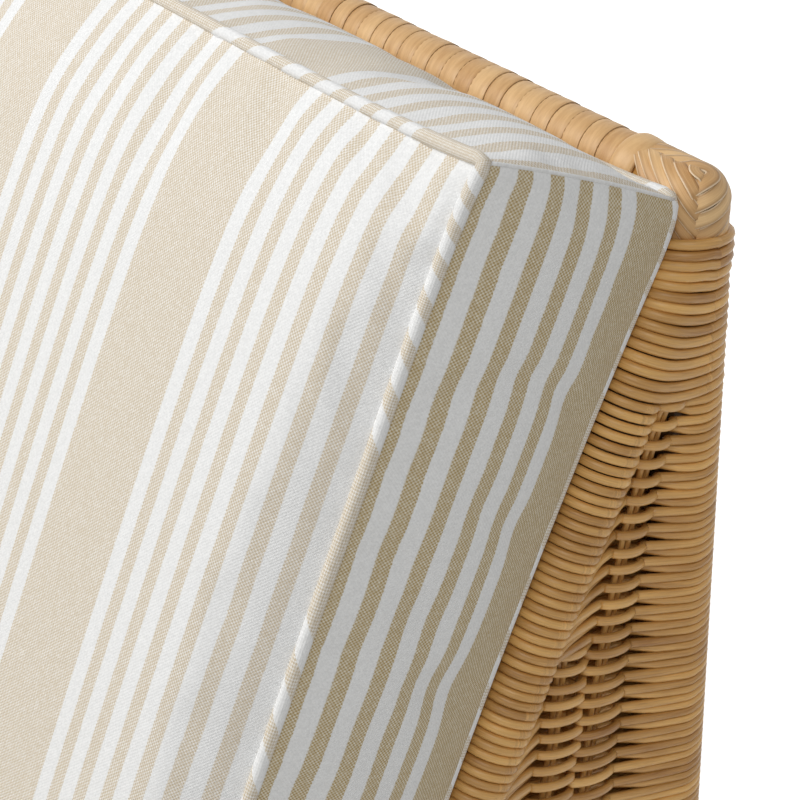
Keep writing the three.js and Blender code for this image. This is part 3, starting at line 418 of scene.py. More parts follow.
def strand_mesh(name, paths, radius, sides, closed=False):
    curve = bpy.data.curves.new(name, "CURVE")
    curve.dimensions = "3D"
    curve.bevel_depth = radius
    curve.bevel_resolution = sides // 2 - 2
    curve.use_fill_caps = not closed
    for path in paths:
        spline = curve.splines.new("POLY")
        spline.points.add(len(path) - 1)
        points = np.ones((len(path), 4))
        points[:, :3] = path
        spline.points.foreach_set("co", points.ravel())
        spline.use_cyclic_u = closed
    holder = bpy.data.objects.new(name + "_path", curve)
    bpy.context.scene.collection.objects.link(holder)
    mesh = bpy.data.meshes.new_from_object(holder)
    bpy.data.objects.remove(holder)
    bpy.data.curves.remove(curve)
    mesh.name = name
    runs, picks, ends = [], [], []
    for path in paths:
        steps = np.linalg.norm(np.diff(np.asarray(path), axis=0), axis=1)
        run = np.concatenate([[0], np.cumsum(steps)])
        pick = tones.random()
        runs.append(np.repeat(run, sides))
        picks.append(np.full(len(run) * sides, pick))
        ends.append((run[-1], pick))
    along, tone = np.concatenate(runs), np.concatenate(picks)
    if not closed:
        lids = [(np.repeat([length, 0.0], sides), np.full(2 * sides, pick)) for length, pick in ends[::-1]]
        along = np.concatenate([lid[0] for lid in lids] + [along])
        tone = np.concatenate([lid[1] for lid in lids] + [tone])
    for label, values in (("along", along), ("tone", tone)):
        layer = mesh.attributes.new(label, "FLOAT", "POINT")
        layer.data.foreach_set("value", values.astype(np.float32))
    return mesh


def finish_piece(name, mesh, material, replaced):
    shape = bmesh.new()
    shape.from_mesh(mesh)
    bmesh.ops.remove_doubles(shape, verts=shape.verts, dist=1e-7)
    for face in shape.faces:
        face.smooth = True
    shape.to_mesh(mesh)
    shape.free()
    mesh.materials.clear()
    mesh.materials.append(material)
    piece = bpy.data.objects.new(name, mesh)
    bpy.context.scene.collection.objects.link(piece)
    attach(piece, "chair")
    if replaced:
        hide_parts(*replaced)
    print(name, len(mesh.vertices), "vertices")
    return piece


def weave_piece(name, paths, radius, replaced, sides=6, closed=False):
    mesh = strand_mesh(name, paths, radius, sides, closed)
    finish_piece(name, mesh, cane, [replaced])


print("strands ready, tones from seed", TONE_SEED)

# %% [markdown]
# ## Ways that a strand goes
# Every woven piece here is made from three moves. A ring goes round a tube, a run crosses from one tube to
# the next, and on its way it passes in front of one stake and behind the following one.

# %% Rings and runs
SIDES = {"left": 1, "right": -1}


def ring(centre, first, second, radius, start, stop, steps):
    angles = np.linspace(start, stop, steps)
    return [centre + first * (radius * math.cos(a)) + second * (radius * math.sin(a)) for a in angles]


def blend_share(value):
    value = min(max(value, 0.0), 1.0)
    return value * value * (3 - 2 * value)


def bent_line(start, start_way, stop, stop_way, t, stiffness=0.45):
    # A point on a run that leaves and arrives in given directions and is nearly straight between them.
    reach = (stop - start).length * stiffness
    return (start * (2 * t ** 3 - 3 * t ** 2 + 1) + start_way * (reach * (t ** 3 - 2 * t ** 2 + t))
            + stop * (3 * t ** 2 - 2 * t ** 3) + stop_way * (reach * (t ** 3 - t ** 2)))


def outward(path, sign):
    # Paths are set out on one side with x measured outwards, and this puts them on the left or the right.
    return [Vector((sign * (SIDE_X + p.x), p.y, p.z)) for p in path]


print("moves ready for", len(SIDES), "sides")

# %% [markdown]
# ## The corner winding
# Under the knob, the first turns go round post and stile together. The two tubes part slowly, so each turn is
# longer than the one above, and its front half tips back with the stile. Every turn is one closed ring. The
# outer half of the first turns lies a little higher than the inner half, as the knob's strips push it up.

# %% Wind the corners
TURN_PITCH = 5.45 * MM
TURN_RADIUS = 2.7 * MM
FIRST_TURN = 6.0 * MM
CORNER_TURNS = 15
# The strands lie square to the leaning stile, so a row drops on its way back to the post.
STILE_SHARE = 0.91
TIP_BACK = 60 * MM
OUTER_STIFFNESS = 0.9
# How far the first turns stand out over the knob's strip ends that they hold.
PROUD = [0.8 * MM, 1.2 * MM, 1 * MM, 0.4 * MM]
OUTER_LIFT = 5.9 * MM
REAR_DIP = 1.5 * MM
UNEVEN_TURN = 0.15
HALF_RING_POINTS = 14
BETWEEN_POINTS = np.linspace(0, 1, 9)[1:-1]
wobble = np.random.default_rng(11)


def corner_turn(drop, proud):
    radius = WRAP_RADIUS + proud + wobble.normal(0, UNEVEN_TURN) * MM
    front = FRONTWARD.lerp(STILE_FRONT, blend_share(drop / TIP_BACK)).normalized()
    stile, post = on_stile(drop * STILE_SHARE), on_post(drop)
    rear_ring = ring(post, ACROSS, POST_REAR, radius, 0, math.pi, HALF_RING_POINTS)
    front_ring = ring(stile, -ACROSS, front, radius, 0, math.pi, HALF_RING_POINTS)
    outer = [bent_line(stile, -front, post, POST_REAR, share, OUTER_STIFFNESS) + ACROSS * radius
             for share in BETWEEN_POINTS]
    inner = [bent_line(post, -POST_REAR, stile, front, share) - ACROSS * radius for share in BETWEEN_POINTS]
    middle_y = (stile.y + post.y) / 2
    reach = (post.y - stile.y) / 2 + radius
    fall = 1 - drop / (CORNER_TURNS * TURN_PITCH)
    turn = []
    for p in rear_ring + inner + front_ring + outer:
        rise = OUTER_LIFT * (1 + p.x / radius) / 2 - REAR_DIP * (p.y - middle_y) / reach
        turn.append(p + UPWARD * (fall * rise))
    return turn


for side, sign in SIDES.items():
    turns = []
    for index in range(CORNER_TURNS):
        drop = FIRST_TURN + index * TURN_PITCH + wobble.normal(0, UNEVEN_TURN) * MM
        proud = PROUD[index] if index < len(PROUD) else 0.0
        turns.append(outward(corner_turn(drop, proud), sign))
    weave_piece(f"corner_winding_{side}", turns, TURN_RADIUS, f"corner_binding_{side}", sides=10, closed=True)

# %% [markdown]
# ## The side panels
# Below the winding, each row is a strand that goes round the stile, crosses the gap and goes round the post.
# Pairs of thin canes, the stakes, hang in the gap. A row passes in front of one pair and behind the next, and
# the row below does the opposite. In front of a pair the strand makes a short round bump like a bead. The
# places of the stakes and the beads' sizes were measured from the photograph, as tables against the drop
# below the knuckle.

# %% Place the stakes
STAKE_RADIUS = 1.7 * MM
STAKE_GAP = 2.2 * MM
STAKE_STEP, STAKE_HEAD, STAKE_TAIL = 8, 4, 8
PANEL_TOP = FIRST_TURN + CORNER_TURNS * TURN_PITCH
PANEL_LOW_STILE = 517 * MM
PANEL_LOW_POST = 540 * MM
# Each pair of stakes as points in mm: how far below the knuckle, and how far behind it. The pair reaches from
# a little above its first point to a little below the panel.
STAKES = [
    [(80, -20), (97, -24), (121, -28), (164, -34.5), (217, -41.5), (255, -46.5), (317, -51), (400, -56),
     (535, -64)],
    [(228, -73.5), (250, -75), (270, -76), (308, -80), (400, -88), (535, -99)],
    [(338, -112), (400, -122), (535, -136)],
    [(432, -158), (535, -172)],
    [(405, -20), (535, -25)],
]


def from_table(drop, drops, values):
    return float(np.interp(drop / MM, drops, values)) * MM


def stake_y(stake, drop):
    return KNUCKLE.y + from_table(drop, *zip(*stake))


def stake_depth(drop):
    return from_table(drop, [83, 97, 121, 164, 230], [13, 10.5, 7.8, 4.2, 2.6])


def bead_half(drop):
    return from_table(drop, [83, 130, 200, 270], [6.5, 6.8, 9.0, 12.0])


def panel_stakes():
    paths = []
    for stake in STAKES:
        for shift in (-STAKE_GAP, STAKE_GAP):
            drops = np.arange(stake[0][0] - STAKE_HEAD, PANEL_LOW_POST / MM + STAKE_TAIL, STAKE_STEP) * MM
            paths.append([Vector((stake_depth(drop), stake_y(stake, drop) + shift, KNUCKLE.z - drop))
                          for drop in drops])
    return paths


print(len(STAKES), "pairs of stakes a side")

# %% [markdown]
# ## How a row runs
# A strand under tension hugs the tube and then leaves it on a straight tangent line to the next stake. Seen
# from outside, that line is why rows look flat between the tube and the beads.

# %% Find a row's depths
# A strand's depth beside a pair, towards the stile and towards the post, in front of the pair and behind it.
FRONT_RISE = (0.6 * MM, 1.8 * MM)
BEHIND_DROP = (1 * MM, 2.4 * MM)
BEHIND_NARROW = 0.6
BEAD_MARGIN = 1 * MM
BEAD_SINK = 0.4 * MM
JOIN_SHARE = 0.42
JOIN_DROP = 1.2 * MM
# On a short gap the strand still needs a point that lies outside the tube.
LEAST_LENGTH = WRAP_RADIUS * 1.02


def taut(distance, reach, depth):
    # How far out a strand lies at a distance from the tube's outermost line, where it hugs the tube and then
    # runs straight to a point that lies at this reach and depth.
    length = max(math.hypot(reach, depth), LEAST_LENGTH)
    angle = math.asin(WRAP_RADIUS / length) - math.atan2(depth, reach)
    leave, high = WRAP_RADIUS * math.sin(angle), WRAP_RADIUS * math.cos(angle)
    if distance < leave:
        return math.sqrt(WRAP_RADIUS ** 2 - distance ** 2)
    return high - (distance - leave) * math.tan(angle)


def row_depths(index, width, places, drop):
    # The depth of a strand between the tubes, as corner points, and the beads that stand out from it.
    middle, half, clear = stake_depth(drop), bead_half(drop), STRAND_RADIUS + STAKE_RADIUS
    corners, beads = [], []
    for place, number in places:
        if (index + number) % 2 == 0:
            reach = half + BEAD_MARGIN
            corners += [(place - reach, middle + FRONT_RISE[0]), (place + reach, middle + FRONT_RISE[1])]
            beads.append((place, reach, clear - BEAD_SINK))
        else:
            behind = middle - clear
            corners += [(place - half * BEHIND_NARROW, behind - BEHIND_DROP[0]),
                        (place + half, behind - BEHIND_DROP[1])]
    if not corners:
        corners = [(width / 2, middle)]
    elif (index + places[-1][1]) % 2:
        # A strand that comes from behind stays deep at first and then joins the line of its neighbours.
        place = corners[-1][0]
        join = place + JOIN_SHARE * (width - place)
        corners.append((join, taut(width - join, width - place, middle + FRONT_RISE[1]) - JOIN_DROP))
    return corners, beads


print("a strand leaves the tube", round(taut(10 * MM, 40 * MM, 0.0) / MM, 1), "mm out at 10 mm")

# %% [markdown]
# ## One row
# A row needs points close together where it bends, at the tubes and on the beads, and few elsewhere. Its back
# half returns inside the panel with a little sag.

# %% Lay a row
EVEN_DROP = 330 * MM
ROW_STIFFNESS = 0.9
STILE_LEAN = 0.5
UNEVEN_ROW = 0.25
BEAD_POWER = 0.65
BEAD_STOPS = (-1.15, -1, -0.96, -0.85, -0.6, -0.3, 0, 0.3, 0.6, 0.85, 0.96, 1, 1.15)
TUBE_STOPS = np.concatenate([np.linspace(0, 17, 10), [21, 26, 32]]) * MM
EVEN_STEP, LEAST_STEP, INNER_STEP = 5 * MM, 0.3 * MM, 12 * MM
INNER_SAG = 7 * MM
ROW_RING_POINTS = 12


def row_point(stile, post, share):
    return bent_line(stile, -STILE_FRONT * STILE_LEAN, post, POST_REAR, share, ROW_STIFFNESS)


def stakes_met(stile, post, post_drop):
    width = (post - stile).length
    places = []
    for number, stake in enumerate(STAKES):
        if post_drop / MM < stake[0][0] + STAKE_HEAD:
            continue
        for share in np.linspace(0, 1, 80):
            point = row_point(stile, post, share)
            if point.y > stake_y(stake, KNUCKLE.z - point.z):
                places.append((share * width, number))
                break
    return sorted(places)


def row_stops(width, beads):
    even = np.linspace(0, width, max(4, int(width / EVEN_STEP)))
    stops = set(even) | set(TUBE_STOPS) | set(width - TUBE_STOPS)
    for place, half, _ in beads:
        stops |= {place + half * share for share in BEAD_STOPS}
    stops = sorted(s for s in stops if 0 <= s <= width)
    return [stops[0]] + [b for a, b in zip(stops, stops[1:]) if b - a > LEAST_STEP]


def panel_row(index, post_drop):
    stile_drop = STILE_SHARE * post_drop
    if post_drop > EVEN_DROP:
        start = STILE_SHARE * EVEN_DROP
        stile_drop = start + (PANEL_LOW_STILE - start) * (post_drop - EVEN_DROP) / (PANEL_LOW_POST - EVEN_DROP)
    stile, post = on_stile(stile_drop), on_post(post_drop)
    width = (post - stile).length
    corners, beads = row_depths(index, width, stakes_met(stile, post, post_drop), post_drop)
    knot_s, knot_d = zip(*corners)
    uneven = wobble.normal(0, UNEVEN_ROW) * MM
    path = []
    for s in row_stops(width, beads):
        depth = float(np.interp(s, knot_s, knot_d))
        if s < knot_s[0]:
            depth = taut(s, knot_s[0], knot_d[0])
        elif s > knot_s[-1]:
            depth = taut(width - s, width - knot_s[-1], knot_d[-1])
        for place, half, height in beads:
            part = (s - place) / half
            if abs(part) < 1:
                depth += height * (1 - part * part) ** BEAD_POWER
        point = row_point(stile, post, s / width)
        point.z += uneven * math.sin(math.pi * s / width)
        path.append(point + ACROSS * depth)
    path += ring(post, ACROSS, POST_REAR, WRAP_RADIUS, 0, math.pi, ROW_RING_POINTS)[1:]
    for share in np.linspace(0, 1, max(4, int(width / INNER_STEP)))[1:-1]:
        sag = INNER_SAG * math.sin(math.pi * share)
        path.append(bent_line(post, -POST_REAR, stile, STILE_FRONT, share) - ACROSS * (WRAP_RADIUS - sag))
    path += ring(stile, -ACROSS, STILE_FRONT, WRAP_RADIUS, 0, math.pi, ROW_RING_POINTS)[:-1]
    return path


# %% [markdown]
# ## All rows of a panel
# The rows lie 5.8 mm apart under the winding and 5.2 mm further down, as in the photograph. They are worked
# out once and then put on both sides, like the stakes, which stand in the beads' backs.

# %% Weave the side panels
FIRST_ROW_GAP = 0.4 * MM

rows, row_drop = [], PANEL_TOP + FIRST_ROW_GAP
while row_drop < PANEL_LOW_POST:
    rows.append(panel_row(len(rows), row_drop))
    row_drop += from_table(row_drop, [95, 120, 150], [5.8, 5.6, 5.2])
print(len(rows), "rows a side")
for side, sign in SIDES.items():
    panel = f"side_panel_{side}"
    weave_piece(f"side_weave_{side}", [outward(row, sign) for row in rows], STRAND_RADIUS, panel, sides=8,
                closed=True)
    weave_piece(f"side_stakes_{side}", [outward(p, sign) for p in panel_stakes()], STAKE_RADIUS, panel)

# %% [markdown]
# ## Flat strips
# The top rail and its ends are covered in flat cane. A strip is a flat rounded section carried along a path,
# with one side always turned outwards. It starts as a bmesh grid: one way along the path, the other way round
# the section. One edge of each strip lies a little higher, as it does where real strips overlap.

# %% Sweep a strip
STRIP_STEPS = ((-0.5, -0.1), (-0.46, 0.3), (-0.25, 0.5), (0, 0.55), (0.25, 0.5), (0.46, 0.3), (0.5, -0.1),
               (0.4, -0.5), (0, -0.5), (-0.4, -0.5))


def strip_section(width, thickness, tilt):
    turned = []
    for side, up in STRIP_STEPS:
        side, up = side * width, up * thickness
        turned.append((side * math.cos(tilt) - up * math.sin(tilt),
                       side * math.sin(tilt) + up * math.cos(tilt)))
    return turned


def sweep_strip(shape, path, ups, section, closed=False, edge_share=1.0):
    # A small share here keeps the material's painted edge shade and painted edge highlight off a strip.
    count = len(path) if closed else len(path) - 1
    round_count = len(section)
    along = shape.verts.layers.float["along"]
    tone = shape.verts.layers.float["tone"]
    layer = shape.loops.layers.uv["UVMap"]
    pick = tones.random()
    runs = [0.0]
    for index in range(count):
        runs.append(runs[-1] + (path[(index + 1) % len(path)] - path[index]).length)
    verts = bmesh.ops.create_grid(shape, x_segments=count, y_segments=round_count, size=1)["verts"]
    cells = {vert: (round((vert.co.x + 1) / 2 * count), round((vert.co.y + 1) / 2 * round_count))
             for vert in verts}
    for vert, (i, j) in cells.items():
        here = i % len(path)
        before = path[here - 1] if (closed or here > 0) else path[0]
        after = path[(here + 1) % len(path)] if (closed or here < len(path) - 1) else path[-1]
        way = (after - before).normalized()
        side = ups[here].cross(way).normalized()
        up = way.cross(side).normalized()
        side_step, up_step = section[j % round_count]
        vert.co = path[here] + side * side_step + up * up_step
        vert[along], vert[tone] = runs[i], pick
    for face in {f for vert in verts for f in vert.link_faces}:
        for loop in face.loops:
            i, j = cells[loop.vert]
            loop[layer].uv = (i / count, FACE_SHARE + (j / round_count - FACE_SHARE) * edge_share)


def start_strips():
    shape = bmesh.new()
    shape.verts.layers.float.new("along")
    shape.verts.layers.float.new("tone")
    shape.loops.layers.uv.new("UVMap")
    return shape


def close_strips(name, shape, replaced):
    bmesh.ops.remove_doubles(shape, verts=shape.verts, dist=1e-6)
    bmesh.ops.holes_fill(shape, edges=[e for e in shape.edges if e.is_boundary], sides=0)
    bmesh.ops.recalc_face_normals(shape, faces=shape.faces)
    mesh = bpy.data.meshes.new(name)
    shape.to_mesh(mesh)
    shape.free()
    finish_piece(name, mesh, flat_cane, [replaced])


print("strip section", len(STRIP_STEPS), "points")

# %% [markdown]
# ## The rail's binding
# One broad strip of flat cane is wound along the top rail, each turn lapping the one before. Its path is a
# helix, a little uneven from turn to turn, and the strip is tilted by two degrees so that its edge lies on
# the turn beside it.

# %% Bind the top rail
BINDING_REACH = 317.6 * MM
BINDING_PITCH = 12 * MM
BINDING_WIDTH = 15.5 * MM
BINDING_THICKNESS = 0.7 * MM
BINDING_TILT = math.radians(2)
BINDING_RADIUS = 16.6 * MM
BINDING_STEPS = 28
strip_wobble = np.random.default_rng(23)

shape = start_strips()
turns = 2 * BINDING_REACH / BINDING_PITCH
swells = strip_wobble.normal(0, 0.15, int(turns) + 3) * MM
path, ups = [], []
for step in range(int(turns * BINDING_STEPS) + 1):
    turn = step / BINDING_STEPS
    angle = 2 * math.pi * turn
    up = Vector((0, math.cos(angle), math.sin(angle)))
    swell = float(np.interp(turn, range(len(swells)), swells))
    x = -BINDING_REACH + BINDING_PITCH * turn
    ups.append(up)
    path.append(Vector((x, TOP_RAIL.y, TOP_RAIL.z)) + up * (BINDING_RADIUS + swell))
sweep_strip(shape, path, ups, strip_section(BINDING_WIDTH, BINDING_THICKNESS, BINDING_TILT), edge_share=0.5)
close_strips("rail_binding_strip", shape, "rail_binding")

# %% [markdown]
# ## The end collars
# At each end of the rail the cane is wound over itself, which makes a thick rounded collar. Only its outside
# shows, so it is one closed band whose section is the stack's rounded outline.

# %% Wind the collars
COLLAR_PLACE = 325.2 * MM
COLLAR_RADIUS = 17.2 * MM
COLLAR_STEPS = 48
COLLAR_SECTION = [(side * MM, up * MM) for side, up in (
    (-7.5, -1.6), (-7.6, -0.3), (-6.6, 0.7), (-4, 1.2), (-1, 1.6), (2, 1.9), (5, 1.9), (6.8, 1.2), (7.5, 0),
    (7.2, -1.6))]

for side, sign in SIDES.items():
    shape = start_strips()
    ups = [Vector((0, math.cos(a), math.sin(a))) for a in np.linspace(0, 2 * math.pi, COLLAR_STEPS + 1)[:-1]]
    path = [Vector((sign * COLLAR_PLACE, TOP_RAIL.y, TOP_RAIL.z)) + up * COLLAR_RADIUS for up in ups]
    section = [(-side_step * sign, up_step) for side_step, up_step in COLLAR_SECTION]
    sweep_strip(shape, path, ups, section, closed=True, edge_share=0.2)
    close_strips(f"collar_turns_{side}", shape, f"rail_collar_{side}")

# %% [markdown]
# ## The woven knobs
# Each rail end turns down into the post under a woven knob. Two families of strips bend round its top, one in
# front and one behind, and meet in two seams like a plait: one along the rail and one down the outer face.
# Each strip is a bent curve pushed onto the elbow's surface.

# %% Find places on the elbow
KNOB_RADIUS = 17.2 * MM
ARM_REACH = 35 * MM
SKIRT_REACH = 27 * MM
CROWN_TILT = math.radians(16)
SEAM_TURN = math.radians(-38)
SEAM_BEND = math.radians(30)
SEAM_ASIDE = -2.2 * MM


def on_elbow(point, lift):
    on_arm = Vector((min(max(point.x, -ARM_REACH), 0), 0, 0))
    on_skirt = Vector((0, 0, min(max(point.z, -SKIRT_REACH), 0)))
    core = min((on_arm, on_skirt), key=lambda c: (point - c).length)
    up = (point - core).normalized()
    return core + up * (KNOB_RADIUS + lift), up


def knob_seam(distance):
    # A point on the plait's seam: along the rail for negative distances, down the outer face for positive.
    angle = CROWN_TILT + distance / KNOB_RADIUS
    if angle < 0:
        return Vector((angle * KNOB_RADIUS, SEAM_ASIDE, KNOB_RADIUS))
    turn = SEAM_TURN * blend_share((angle - CROWN_TILT) / SEAM_BEND)
    over = max(angle - math.pi / 2, 0) * KNOB_RADIUS
    angle = min(angle, math.pi / 2)
    flat = math.sin(angle) * KNOB_RADIUS
    return Vector((flat * math.cos(turn), flat * math.sin(turn), math.cos(angle) * KNOB_RADIUS - over))


print("the knob's seam starts", [round(c / MM, 1) for c in knob_seam(0.0)], "mm from the elbow")

# %% [markdown]
# ## The knob's strips
# The strips start and stop on the two seams, and their ends dive under the strips that they meet. Under them
# lies a plain lining, bent like the elbow, so that no gap between two strips shows the inside.

# %% Weave the knobs
KNOB_STRIPS = 6
STRIP_THICKNESS = 1.3 * MM
SEAM_FIRST, SEAM_STEP, SEAM_END = 4 * MM, 8.7 * MM, 42 * MM
SWEEP_FIRST, SWEEP_STEP = 3 * MM, 5.2 * MM
OVERRUN, DIVE_START, DIVE_LENGTH, DIVE_DEPTH = 0.07, 0.1, 0.15, 1.1 * MM
KNOB_STRIP_POINTS = 36
# Each family: the way its strips bulge, the half step it is shifted by, their tilt and their width.
FAMILIES = ((math.radians(-110), 0.0, -0.19, 6.6 * MM), (math.radians(60), 0.5, 0.17, 7.8 * MM))
LINING_RADIUS = 16.2 * MM
LINING_BEND = 8 * MM


def knob_strip(index, way):
    reach = SEAM_FIRST + SEAM_STEP * index
    start, stop = knob_seam(-min(reach, SEAM_END)), knob_seam(reach)
    crown = Vector((math.sin(CROWN_TILT), 0, math.cos(CROWN_TILT)))
    level = Vector((math.cos(way), math.sin(way), 0))
    level = (level - crown * level.dot(crown)).normalized()
    sweep = (SWEEP_FIRST + SWEEP_STEP * index) / KNOB_RADIUS
    middle = (crown * math.cos(sweep) + level * math.sin(sweep)) * KNOB_RADIUS
    control = middle * 2 - (start + stop) / 2
    path, ups = [], []
    for t in np.linspace(-OVERRUN, 1 + OVERRUN, KNOB_STRIP_POINTS):
        point = start * (1 - t) ** 2 + control * (2 * t * (1 - t)) + stop * t ** 2
        dive = max(blend_share((DIVE_START - t) / DIVE_LENGTH),
                   blend_share((t - 1 + DIVE_START) / DIVE_LENGTH))
        place, up = on_elbow(point, -DIVE_DEPTH * dive)
        path.append(place)
        ups.append(up)
    return path, ups


def lining_path():
    bend = [Vector((math.sin(a) - 1, 0, math.cos(a) - 1)) * LINING_BEND
            for a in np.linspace(0, math.pi / 2, 7)]
    return [Vector((-ARM_REACH, 0, 0))] + bend + [Vector((0, 0, -SKIRT_REACH))]


for side, sign in SIDES.items():
    shape = start_strips()
    mirror = Vector((sign, 1, 1))
    place = Vector((sign * SIDE_X, TOP_RAIL.y, TOP_RAIL.z))
    for way, shift, tilt, width in FAMILIES:
        for index in range(KNOB_STRIPS):
            path, ups = knob_strip(index + shift, way)
            path = [place + p * mirror for p in path]
            ups = [up * mirror for up in ups]
            sweep_strip(shape, path, ups, strip_section(width, STRIP_THICKNESS, tilt * sign))
    close_strips(f"knob_strips_{side}", shape, f"corner_knob_{side}")
    weave_piece(f"knob_lining_{side}", [[place + p * mirror for p in lining_path()]], LINING_RADIUS,
                f"corner_knob_{side}", sides=16)

# %% [markdown]
# ## The cushions
# Each cushion is a sewn box: a face and a back panel, a strip called the boxing round the four sides, and
# piping in the two long seams. The foam pushes the panels out between the seams. The shape starts as a cube
# cut into small squares, which one function moves into the sewn form. Blender's Cloth then inflates it a
# little, with the seams held still, which gives the soft unevenness that a formula doesn't have.

# %% Cut the grid and its crown
CUSHION_HALF = 365 * MM


def boxed_grid(cells):
    shape = bmesh.new()
    bmesh.ops.create_cube(shape, size=2)
    for axis, count in enumerate(cells):
        # The cube is 2 wide, so its edges along an axis are the ones that still are that long.
        rods = [e for e in shape.edges if abs((e.verts[0].co - e.verts[1].co)[axis]) > 1.9]
        bmesh.ops.subdivide_edges(shape, edges=rods, cuts=count - 1)
    return shape


def tighten(share, amount):
    # Moves the grid lines towards the seams, where the form bends most.
    return share + amount * math.sin(math.pi * share)


def fade(distance, length):
    return 1 - math.exp(-max(distance, 0.0) / length)


def crown_height(across, from_top, from_low, crown):
    side_swell = crown["edge"] * fade(across, crown["edge_length"])
    t = min(across / CUSHION_HALF, 1.0)
    hill = crown["hill"] * (t - t ** 6 / 6)
    return (side_swell + hill) * fade(from_top, crown["top_length"]) * fade(from_low, crown["low_length"])


print("cushion half width", CUSHION_HALF / MM, "mm")

# %% [markdown]
# ## The sewn form
# A point of the grid has three shares from -1 to 1: across, up, and from the rear panel to the face. The rear
# panel spreads where it presses on the stiles, the face is drawn in by its seam, the boxing bulges least near
# its corners, and each panel has its own crown.

# %% Sew the form
PIPING_INSET = 2 * MM
CORNER_ROUND = 3 * MM
GRID_TIGHTER = (0.14, 0.12)
EDGE_DRAW, EDGE_FADE = 5.7 * MM, 24 * MM
TOP_DRAW, TOP_FADE = 4 * MM, 40 * MM
REAR_FLOOR, REAR_FADE = 0.45, 12 * MM
REAR_FLARE, FLARE_FADE = 1.6, 70 * MM
BOXING_BULGE = 12 * MM
PINCH, PINCH_FADE = 0.75, 26 * MM


def cushion_point(form, share):
    u, v, w = tighten(share[0], GRID_TIGHTER[0]), tighten(share[1], GRID_TIGHTER[1]), share[2]
    rear, front, top = form["rear"], form["front"], form["top"]
    rear_share, face_share, arch = (1 - w) / 2, (1 + w) / 2, 1 - w * w
    depth = rear + (front - rear) * face_share
    low = form["low_rear"] + (form["low_front"] - form["low_rear"]) * face_share
    middle, reach = (top + low) / 2, (top - low) / 2
    y = v * reach
    to_end = reach - abs(y)
    rear_end = (REAR_FLOOR + (1 - REAR_FLOOR) * fade(to_end, REAR_FADE)) * (
        1 + REAR_FLARE * math.exp(-to_end / FLARE_FADE))
    spread = form["rear_spread"] * rear_end * rear_share - EDGE_DRAW * fade(to_end, EDGE_FADE) * face_share
    half = CUSHION_HALF - PIPING_INSET + spread * abs(u)
    x = u * half
    to_side = half - abs(x)
    depth += math.copysign(form["rear_sink"], rear - front) * rear_end * u ** 8 * rear_share
    if v > 0:
        y -= TOP_DRAW * fade(to_side, TOP_FADE) * v ** 3
    if abs(share[0]) == 1:
        x += math.copysign(BOXING_BULGE * arch * (1 - PINCH * math.exp(-to_end / PINCH_FADE)), u)
    if share[1] == 1:
        y += BOXING_BULGE * arch * (1 - PINCH * math.exp(-to_side / PINCH_FADE))
    limit_x, limit_y = half - CORNER_ROUND, reach - CORNER_ROUND
    over_x, over_y = abs(x) - limit_x, abs(y) - limit_y
    if over_x > 0 and over_y > 0:
        scale = max(over_x, over_y) / math.hypot(over_x, over_y)
        x = math.copysign(limit_x + over_x * scale, x)
        y = math.copysign(limit_y + over_y * scale, y)
    if abs(share[2]) == 1:
        crown = form["crown"] if share[2] > 0 else form["rear_crown"]
        height = crown_height(half - abs(x), reach - y, reach + y - crown.get("flat", 0.0), crown)
        depth += math.copysign(height, front - rear) * share[2]
    return Vector((x, middle + y, depth))


def sew_cushion(form, place, cells):
    shape = boxed_grid(cells)
    shares = np.array([v.co[:] for v in shape.verts])
    steps = np.round((shares + 1) * np.array(cells) / 2).astype(int)
    points = np.zeros(steps.shape)
    for index, vertex in enumerate(shape.verts):
        point = cushion_point(form, steps[index] * 2 / np.array(cells) - 1)
        points[index] = point
        vertex.co = place(point)
    lookup = {tuple(step): index for index, step in enumerate(steps)}
    return shape, steps, points, lookup


print("the boxing bulges", BOXING_BULGE / MM, "mm")

# %% [markdown]
# ## The cloth on a cushion
# A sewn cover is cut flat, so each panel gets its own piece of the UV map in metres. On the face the stripes
# start at the seam on the chair's left and are measured along the swollen surface. On the boxing they run
# along the seams, and on the top strip they meet the stripes of the face.

# %% Lay the cloth on the panels
BOXING_START = 29.8 * MM
BOXING_SCALE = 0.915


def run_lengths(points, lookup, cells, axis, fixed):
    # Length along one grid line from its last point back to each of its points.
    lengths = {cells[axis]: 0.0}
    for step in range(cells[axis] - 1, -1, -1):
        here, there = list(fixed), list(fixed)
        here[axis], there[axis] = step, step + 1
        gap = np.linalg.norm(points[lookup[tuple(here)]] - points[lookup[tuple(there)]])
        lengths[step] = lengths[step + 1] + gap
    return lengths


def lay_cloth(shape, steps, points, lookup, cells):
    layer = shape.loops.layers.uv.new("UVMap")
    boxing = shape.faces.layers.float.new("boxing")
    nu, nv, nw = cells
    face_runs = {(w, v): run_lengths(points, lookup, cells, 0, (0, v, w)) for w in (0, nw)
                 for v in range(nv + 1)}
    side_runs = {(u, v): run_lengths(points, lookup, cells, 2, (u, v, 0)) for u in (0, nu)
                 for v in range(nv + 1)}
    end_runs = {(u, v): run_lengths(points, lookup, cells, 2, (u, v, 0)) for v in (0, nv)
                for u in range(nu + 1)}
    shape.faces.ensure_lookup_table()
    for face in shape.faces:
        corners = [steps[loop.vert.index] for loop in face.loops]
        axis = next(a for a in range(3) if all(c[a] == corners[0][a] and c[a] in (0, cells[a])
                                               for c in corners))
        # The boxing layer is 1 on the side boxing, where the fabric paints shade by deepening its cream and
        # tan.
        face[boxing] = 1.0 if axis == 0 else 0.0
        for loop, (u, v, w) in zip(face.loops, corners):
            y = points[loop.vert.index][1]
            if axis == 2:
                place = (face_runs[(w, v)][u], y)
            elif axis == 0:
                place = (BOXING_START + BOXING_SCALE * side_runs[(u, v)][w], y + u)
            else:
                place = (face_runs[(nw, v)][u], end_runs[(u, v)][w] + v)
            loop[layer].uv = place


print("boxing stripes start", BOXING_START / MM, "mm into the repeat")

